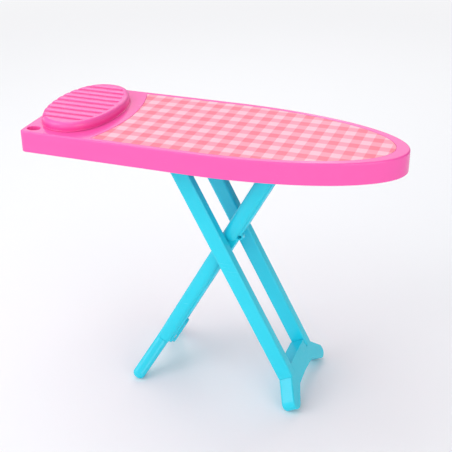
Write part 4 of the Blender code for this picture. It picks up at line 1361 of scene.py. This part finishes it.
@dataclass
class Studio:
    """Pale seamless floor, soft lamps, even surroundings and the camera."""

    floor_half: float = 20.0
    focal_pixels: float = 940.4
    image_pixels: float = 452.0
    sensor: float = 36.0
    azimuth: float = 19.893
    elevation: float = 27.282
    roll: float = -0.388
    distance: float = 0.9951
    clip_end: float = 50.0
    target: tuple[float, float, float] = (0.0039, 0.0, 0.1827)
    cool_white: Colour = (0.97, 0.975, 1.0)
    ambient: float = 0.15
    sky: float = 0.9
    sky_falloff: float = 1.5
    bright_way: tuple[float, float, float] = (-0.35, -0.75, 0.55)
    pale_wall: float = 0.5
    wall_top: float = 0.14       # height of the wall, as a share of the view's length
    wall_fade: float = 0.1
    dim_way: Point = (0.85, 0.53)    # where the wall is left out
    dim_from: float = 0.45
    dim_fade: float = 0.3

    def add_camera(self) -> None:
        """The camera that the photograph was taken with, as fitted to the board's edges."""
        azimuth, elevation, roll = (math.radians(v) for v in (self.azimuth, self.elevation, self.roll))
        back = Vector((math.sin(azimuth) * math.cos(elevation), -math.cos(azimuth) * math.cos(elevation),
                       math.sin(elevation)))
        level = Vector((math.cos(azimuth), math.sin(azimuth), 0.0))
        upright = back.cross(level)
        right = level * math.cos(roll) + upright * math.sin(roll)
        up = upright * math.cos(roll) - level * math.sin(roll)
        data = bpy.data.cameras.new("camera")
        data.sensor_width = self.sensor
        data.lens = self.focal_pixels / self.image_pixels * self.sensor
        data.clip_end = self.clip_end
        camera = bpy.data.objects.new("camera", data)
        turn = Matrix((right, up, back)).transposed().to_4x4()
        camera.matrix_world = Matrix.Translation(Vector(self.target) + back * self.distance) @ turn
        bpy.context.scene.collection.objects.link(camera)
        bpy.context.scene.camera = camera

    def add_floor(self) -> None:
        """A wide level sheet of paper."""
        half = self.floor_half
        mesh = bpy.data.meshes.new("studio_floor")
        corners = [(-half, -half, 0), (half, -half, 0), (half, half, 0), (-half, half, 0)]
        mesh.from_pydata(corners, [], [(0, 1, 2, 3)])
        mesh.materials.append(StudioPaper("studio_paper").material())
        floor = bpy.data.objects.new("studio_floor", mesh)
        bpy.context.scene.collection.objects.link(floor)

    @staticmethod
    def add_softbox(name: str, place: Sequence[float], aim: Sequence[float], size: float,
                    watts: float) -> None:
        """A square area lamp that points at a place."""
        data = bpy.data.lights.new(name, "AREA")
        data.size = size
        data.energy = watts
        lamp = bpy.data.objects.new(name, data)
        lamp.location = place
        lamp.rotation_euler = (Vector(aim) - Vector(place)).to_track_quat("-Z", "Y").to_euler()
        bpy.context.scene.collection.objects.link(lamp)

    def add_world(self) -> None:
        """Pale surroundings: brighter above and in front of the board, with a pale wall low down."""
        world = bpy.data.worlds.new("studio")
        bpy.context.scene.world = world
        world.use_nodes = True
        book = NodeBook(world.node_tree)
        x, y, z = book.axes(book.node("ShaderNodeTexCoord", {}, {}, "Generated"))
        towards = self.bright_way[2] * z + self.bright_way[0] * x + self.bright_way[1] * y
        low_down = ((self.wall_top - z) / self.wall_fade).share()
        behind = ((self.dim_way[0] * x + self.dim_way[1] * y - self.dim_from) / self.dim_fade).share()
        sky = self.sky * (0.5 + 0.5 * towards).share() ** self.sky_falloff
        strength = self.ambient + sky + self.pale_wall * low_down * (1.0 - behind)
        light = book.node("ShaderNodeBackground", {},
                          {"Color": (*self.cool_white, 1.0), "Strength": strength})
        book.node("ShaderNodeOutputWorld", {}, {0: light})

    def build(self) -> None:
        """Sets up the whole studio."""
        self.add_camera()
        self.add_floor()
        self.add_world()
        middle, ribs, nose = (0, 0, 0.2), (-0.14, 0, 0.3), (0.18, 0, 0.3)
        self.add_softbox("key_softbox", (-1.2, -1.0, 1.15), middle, size=1.2, watts=8.7)
        self.add_softbox("nose_softbox", (1.4, -1.1, 0.55), middle, size=1.1, watts=7.2)
        self.add_softbox("top_softbox", (-0.4, 0.15, 1.6), middle, size=0.9, watts=4.5)
        self.add_softbox("rib_softbox", (-0.6, 1.15, 1.25), ribs, size=1.0, watts=5.0)
        self.add_softbox("rim_softbox", (0.05, 1.45, 0.92), nose, size=0.7, watts=1.7)
        bpy.context.scene.view_settings.view_transform = "Standard"


def leg_frames() -> tuple[InnerFrame, OuterFrame]:
    """The two leg frames, placed by the joints and the slide rod of the solids."""
    pivots = {joint["name"]: Vector(joint["pos_m"]) for joint in frame["joints"]}
    hinge, pivot = pivots["inner_fold"], pivots["outer_fold"]
    rod_low, rod_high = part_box("slide_rod")
    rod = (rod_low + rod_high) / 2
    arm = (pivot - hinge).length
    inner_axis = Axis.along(hinge, hinge, pivot)
    outer_axis = Axis.along(pivot, rod, pivot)
    inner_bar, inner_leg = 14 * MM, 17.5 * MM
    inner_joint = FootJoint(step=inner_axis.floor - 44.5 * MM, inside=12 * MM, width=9 * MM,
                            leg_depth=inner_leg, bar_depth=inner_bar, lift=(inner_bar - inner_leg) / 2,
                            face=1)
    outer_joint = FootJoint(step=outer_axis.floor - 33.5 * MM, inside=25.6 * MM, width=11.4 * MM,
                            leg_depth=17.4 * MM, bar_depth=15 * MM, lift=0.0, face=-1)
    inner = InnerFrame("inner_frame", inner_axis, arm, inner_joint,
                       FootShape(top=70 * MM, under=32 * MM, toe_radius=6.6 * MM, toe_reach=49 * MM,
                                 toe_rounds=(6 * MM, 6 * MM)),
                       outside=24.9 * MM)
    outer = OuterFrame("outer_frame", outer_axis, arm, outer_joint,
                       FootShape(top=43 * MM, under=17 * MM, toe_radius=8 * MM, toe_reach=49.5 * MM,
                                 toe_rounds=(3.4 * MM, 1.5 * MM), grow=1.1 * MM),
                       outside=37 * MM)
    return inner, outer


def build_small_mouldings() -> None:
    """Rails, brackets, rods, pins, bushes and caps."""
    soft = SoftenedSolids()
    paired = (("slide_rail", "slotted_rail", "board", Slot.PINK),
              ("hinge_bracket", "hinge_block", "board", Slot.PINK),
              ("pivot_pin", "frame_pin", "inner_frame", Slot.TURQUOISE),
              ("pivot_bush", "frame_bush", "outer_frame", Slot.TURQUOISE),
              ("rod_cap", "rod_end_cap", "outer_frame", Slot.TURQUOISE))
    for side in Side:
        for node, name, body, slot in paired:
            soft.build(f"{node}_{side.tag}", f"{name}_{side.tag}", body, slot)
    soft.build("hinge_rod", "hinge_cross_rod", "inner_frame", Slot.TURQUOISE)
    soft.build("slide_rod", "slide_cross_rod", "outer_frame", Slot.TURQUOISE)


def build_screws(inner: InnerFrame, outer: OuterFrame) -> None:
    """The screws of each body, aimed as their solids are."""
    screws = ScrewSet()
    up = Vector((0, 0, 1))
    names = [*rail_and_bracket_screws(), "rest_screw_1", "rest_screw_2"]
    screws.build("deck_screws", "board", {name: up for name in names})
    for legs in (inner, outer):
        aim = legs.axis.matrix.to_3x3() @ Vector((0, 0, -legs.joint.face))
        aims = {f"{legs.kind}_foot_screw_{side.tag}": aim for side in Side}
        screws.build(f"{legs.kind}_frame_screws", legs.body, aims)


def main() -> None:
    """Builds the studio and every piece of the board, in order."""
    logging.basicConfig(level=logging.INFO, format="%(name)s: %(message)s")
    Studio().build()
    deck = Deck()
    Finishes.build(deck.cover_top)
    deck.build_shell()
    deck.build_cover()
    IronRest().build()
    inner, outer = leg_frames()
    for side in Side:
        inner.build_rail(side)
        outer.build_leg(side)
    inner.build_foot_bar()
    outer.build_foot_bar()
    build_small_mouldings()
    build_screws(inner, outer)


if __name__ == "__main__":
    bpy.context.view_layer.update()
    main()
